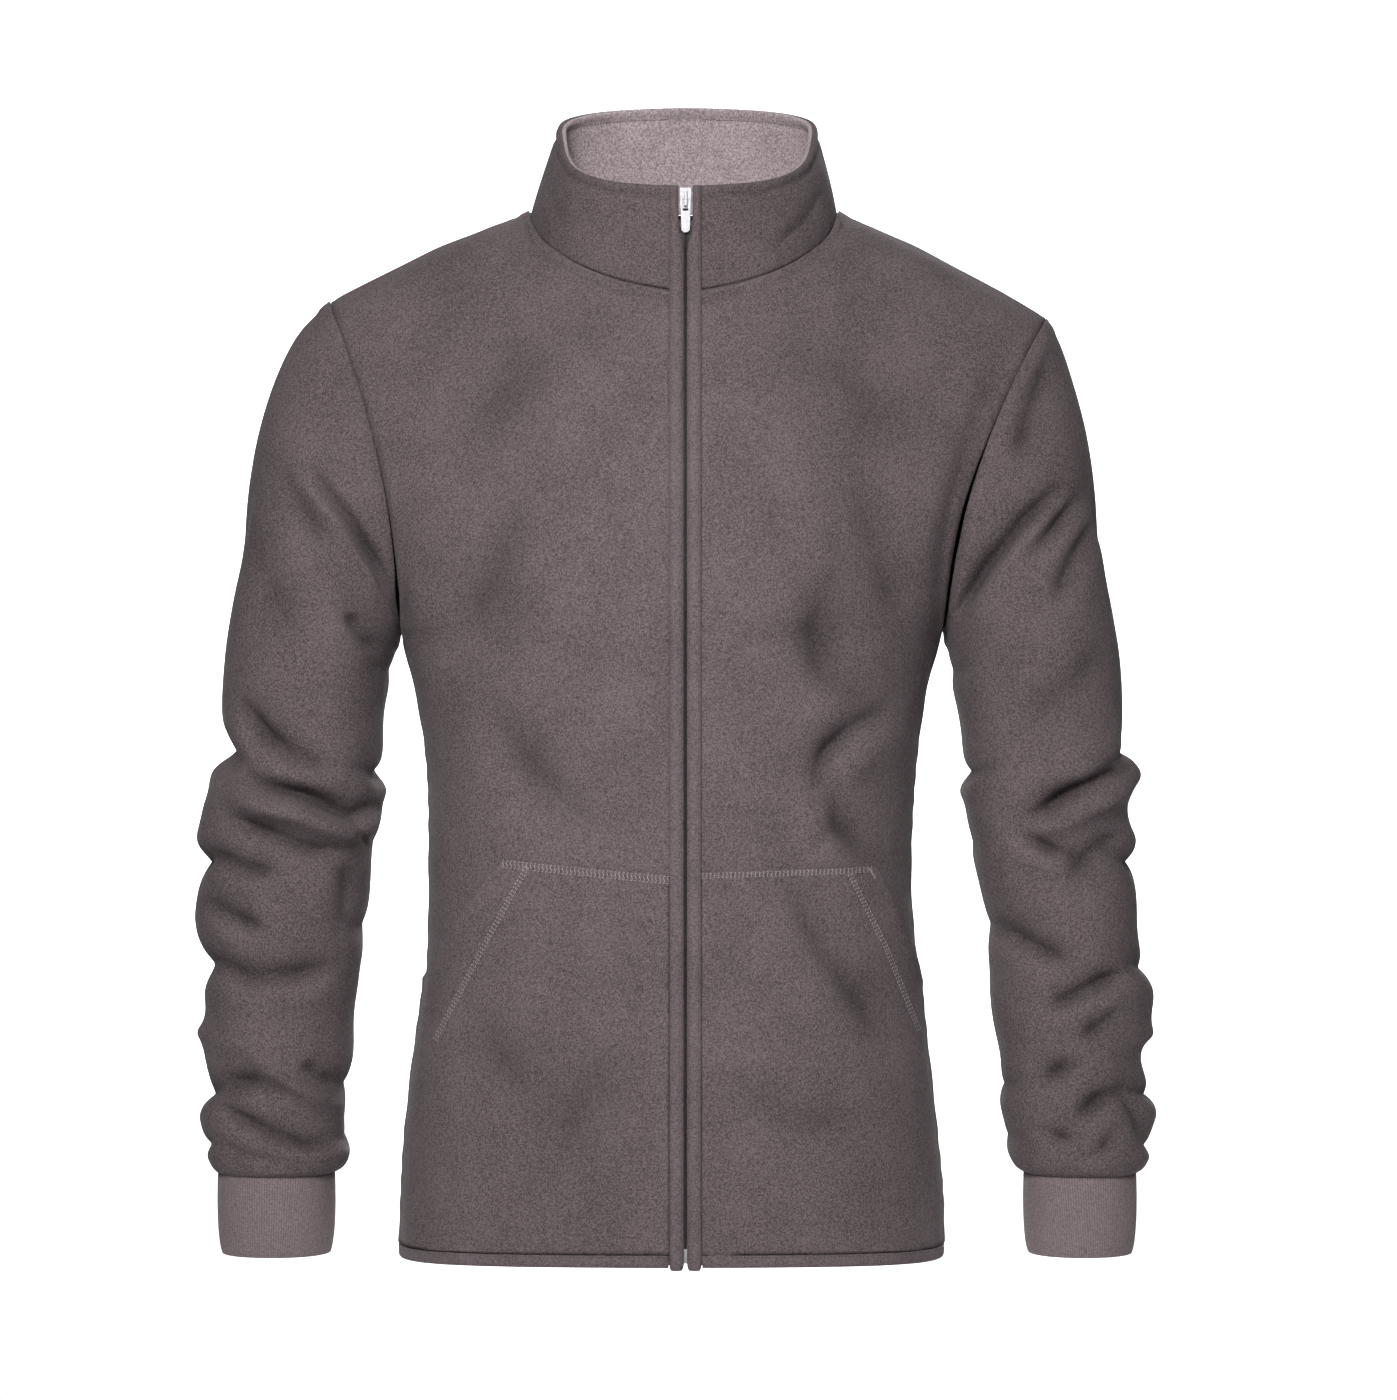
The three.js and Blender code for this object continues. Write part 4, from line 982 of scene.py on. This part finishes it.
def make_pocket_sewing(tree):
    """A cover stitch along the top edges and twin rows beside the slanted openings."""
    bm = bmesh.new()
    pitch, _, width = TOP_DASHES
    for side, sign in (("right", -1), ("left", 1)):
        top, band = POCKET_TOPS[side], TOP_BANDS[side]
        for down in (TOP_START, TOP_START + band):
            sew(bm, tree, top, TOP_DASHES, -down * sign)
        sew(bm, tree, top, (pitch, band, width), -(TOP_START + band / 2) * sign, TOP_SLANT * sign)
        rows = POCKET_ROWS[side]
        for inward in (0.0, ROW_GAP):
            sew(bm, tree, rows, ROW_DASHES, -inward * sign)
        sew(bm, tree, rows, ROW_CROSSES, -ROW_GAP / 2 * sign, ROW_SLANT)
    sew(bm, tree, BARTACK, BARTACK_STITCHES, 0, math.pi / 2)
    return finish_sewing("pocket_sewing", bm, SEWING)


def make_collar_sewing(inner, outer):
    """A row of stitches below the rim, round the outside and round the inside."""
    bm = bmesh.new()
    points = read_points(outer.data)
    angles, heights = rim_heights(points)
    trees = {0.25: tree_of([outer]), 0.0: tree_of([inner])}
    for start, tree in trees.items():
        for angle in np.arange(0, 2 * np.pi, COLLAR_STITCH_TURN):
            height = np.interp(angle, angles, heights, period=2 * np.pi) - COLLAR_STITCH * MM
            away = Vector((math.sin(angle), -math.cos(angle), 0))
            centre = Vector((0, MID_Y, height))
            hit, normal, _, _ = tree.ray_cast(centre + away * start, -away if start else away)
            if hit is None or abs(hit.x) < COLLAR_STITCH_FROM:
                continue
            along = Vector((away.y, -away.x, 0))
            add_stitch(bm, hit, along - normal * along.dot(normal), normal, *COLLAR_STITCH_SIZE)
    return finish_sewing("collar_sewing", bm, BINDING)


def make_hem_sewing(tree, hem):
    """Stitches just inside the upper edge of the hem binding."""
    bm = bmesh.new()
    for sign in (-1, 1):
        places = [sign * x for x in HEM_STITCHED]
        route = [(x, float(np.interp(x, *hem)) - HEM_STITCH_IN) for x in places]
        sew(bm, tree, route, HEM_STITCHES)
    return finish_sewing("hem_sewing", bm, DARK_SEWING)


def make_zip_teeth():
    """Coil turns on each tape, meeting over the zip line."""
    box_low, box_high = (Vector(v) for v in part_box("zip_coil"))
    source = bmesh.new()
    source.from_mesh(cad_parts["zip_coil"].data)
    tree = BVHTree.FromBMesh(source)
    source.free()
    bm = bmesh.new()
    z = box_low.z + TEETH_PITCH
    side = 1
    while z < box_high.z - TEETH_PITCH:
        hit, normal, _, _ = tree.ray_cast(Vector((0, FRONT_FROM, z)), Vector((0, 1, 0)))
        if hit:
            place = hit + Vector((side * TEETH_ASIDE, 0, 0)) - normal * TEETH_SUNK
            add_stitch(bm, place, Vector((1, 0, TEETH_SLANT * side)), normal, *TEETH_SIZE)
        side = -side
        z += TEETH_PITCH / 2
    return finish_sewing("zip_teeth", bm, TEETH)


# Metal
def make_metal(node, body, width):
    """The node's own solid with its edges bevelled by width."""
    bm = merged_copy(node)
    bmesh.ops.dissolve_limit(bm, angle_limit=math.radians(2), verts=bm.verts, edges=bm.edges)
    hard = [e for e in bm.edges if e.is_manifold and e.calc_face_angle() > math.radians(25)]
    bmesh.ops.bevel(
        bm, geom=hard, offset=width, offset_type="OFFSET", segments=3, profile=0.5,
        affect="EDGES", material=-1, clamp_overlap=True,
    )
    mesh = bpy.data.meshes.new(node + "_metal")
    bm.to_mesh(mesh)
    bm.free()
    piece = add_piece(node + "_metal", mesh, METAL, body)
    piece.data.shade_flat()
    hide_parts(node)
    return piece


# Studio: a floor that bends up into a far wall, in metres. Views from behind stand before it.
FLOOR_Z = -0.86
WALL_Y = 4.4
STUDIO_REACH = 5.5
STUDIO_BEND = 1.2
BEND_STEPS = 12
WORLD_STRENGTH = 0.11

# Area lights: name, place, target, size, power in watts and spread in degrees
LIGHTS = (
    ("key", (-0.35, -2.3, 0.95), (0, MID_Y, -0.2), 0.6, 1.95, 38),
    ("low_key", (-0.3, -2.3, 0.45), (0, MID_Y, -0.6), 0.6, 1.5, 38),
    ("fill", (1.5, -2.2, 0.1), (0, MID_Y, -0.35), 1.6, 3, 180),
    ("floor", (0, 0.8, 1.3), (0, 0.8, -1), 0.8, 9, 56),
    ("back_fill", (0.5, 2.7, 1.5), (0, MID_Y, -0.3), 0.8, 3, 38),
    ("far_floor", (0, 2.6, 1.5), (0, 2.75, -1), 1.4, 34, 80),
    ("wall_0", (-2.5, 2.3, 0), (0.1, 4.4, -0.35), 1.3, 66, 90),
    ("wall_2", (2.5, 2.3, 0), (-0.1, 4.4, -0.35), 1.3, 66, 90),
)


def make_studio():
    floor_z, wall_y, reach, bend = FLOOR_Z, WALL_Y, STUDIO_REACH, STUDIO_BEND
    bm = bmesh.new()
    start = bm.verts.new((-reach, -reach, floor_z)), bm.verts.new((reach, -reach, floor_z))
    edge = bm.edges.new(start)
    sweep = [(wall_y - bend, floor_z)]
    for k in range(1, BEND_STEPS + 1):
        angle = math.radians(90 * k / BEND_STEPS)
        sweep.append((wall_y - bend + bend * math.sin(angle), floor_z + bend * (1 - math.cos(angle))))
    sweep.append((wall_y, reach))
    here = Vector((0, -reach, floor_z))
    for y, z in sweep:
        grown = bmesh.ops.extrude_edge_only(bm, edges=[edge])["geom"]
        verts = [g for g in grown if isinstance(g, bmesh.types.BMVert)]
        bmesh.ops.translate(bm, verts=verts, vec=Vector((0, y, z)) - here)
        here = Vector((0, y, z))
        edges = [g for g in grown if isinstance(g, bmesh.types.BMEdge)]
        edge = next(e for e in edges if all(v in verts for v in e.verts))
    bmesh.ops.recalc_face_normals(bm, faces=bm.faces)
    mesh = bpy.data.meshes.new("studio_floor")
    bm.to_mesh(mesh)
    bm.free()
    mesh.shade_smooth()
    floor = bpy.data.objects.new("studio_floor", mesh)
    bpy.context.scene.collection.objects.link(floor)
    paint = bpy.data.materials.new("pale_floor")
    paint.use_nodes = True
    shader = paint.node_tree.nodes["Principled BSDF"]
    shader.inputs["Base Color"].default_value = (0.93, 0.93, 0.93, 1)
    shader.inputs["Roughness"].default_value = 0.9
    mesh.materials.append(paint)


def add_light(name, place, target, size, power, spread):
    data = bpy.data.lights.new(name, "AREA")
    data.size = size
    data.energy = power
    data.spread = math.radians(spread)
    light = bpy.data.objects.new(name, data)
    light.location = place
    aim = Vector(target) - Vector(place)
    light.rotation_euler = aim.to_track_quat("-Z", "Y").to_euler()
    bpy.context.scene.collection.objects.link(light)


def make_light():
    for row in LIGHTS:
        add_light(*row)
    world = bpy.data.worlds.new("studio")
    bpy.context.scene.world = world
    world.use_nodes = True
    world.node_tree.nodes["Background"].inputs["Color"].default_value = (1, 1, 1, 1)
    world.node_tree.nodes["Background"].inputs["Strength"].default_value = WORLD_STRENGTH
    bpy.context.scene.view_settings.view_transform = "Standard"


def make_camera():
    data = bpy.data.cameras.new("camera")
    data.lens = SENSOR * CAMERA_AWAY / FRAME_HEIGHT
    data.sensor_width = SENSOR
    camera = bpy.data.objects.new("camera", data)
    camera.location = (CAMERA_X, MID_Y - CAMERA_AWAY, CAMERA_Z)
    camera.rotation_euler = (math.radians(90), 0, 0)
    bpy.context.scene.collection.objects.link(camera)
    bpy.context.scene.camera = camera


make_camera()
make_light()
make_studio()
meshes = {node: make_shell(node, axis, FINE, RIM_ANGLE) for node, axis, _ in PANELS}
for node, axis, _, _, cut in TRIM:
    meshes[node] = make_shell(node, axis, *SHELLS[cut])
moved = {node: panel_points(node, axis, meshes) for node, axis, _ in PANELS}
for node, points in moved.items():
    write_points(meshes[node], points)
pocket_cloth = {side: outer_side(meshes[f"front_{side}"]) for side in ("right", "left")}
panels = make_panels(meshes)
hem_line = top_line(meshes["hem_band"])
pockets = [make_pocket(side, cloth, hem_line) for side, cloth in pocket_cloth.items()]
trim = make_trim(meshes)
map_cuff(trim["cuff_right"], "right")
map_cuff(trim["cuff_left"], "left")
cloth_tree = tree_of([*panels.values(), *pockets, *trim.values()])
make_pocket_sewing(cloth_tree)
make_hem_sewing(cloth_tree, hem_line)
make_collar_sewing(trim["collar_inner"], trim["collar_outer"])
make_zip_teeth()
make_metal("zip_slider", "jacket", 0.25 * MM)
make_metal("zip_pull", "pull_tab", 0.25 * MM)
make_metal("zip_box", "jacket", 0.3 * MM)
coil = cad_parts["zip_coil"]
coil.data.materials.clear()
coil.data.materials.append(TEETH)
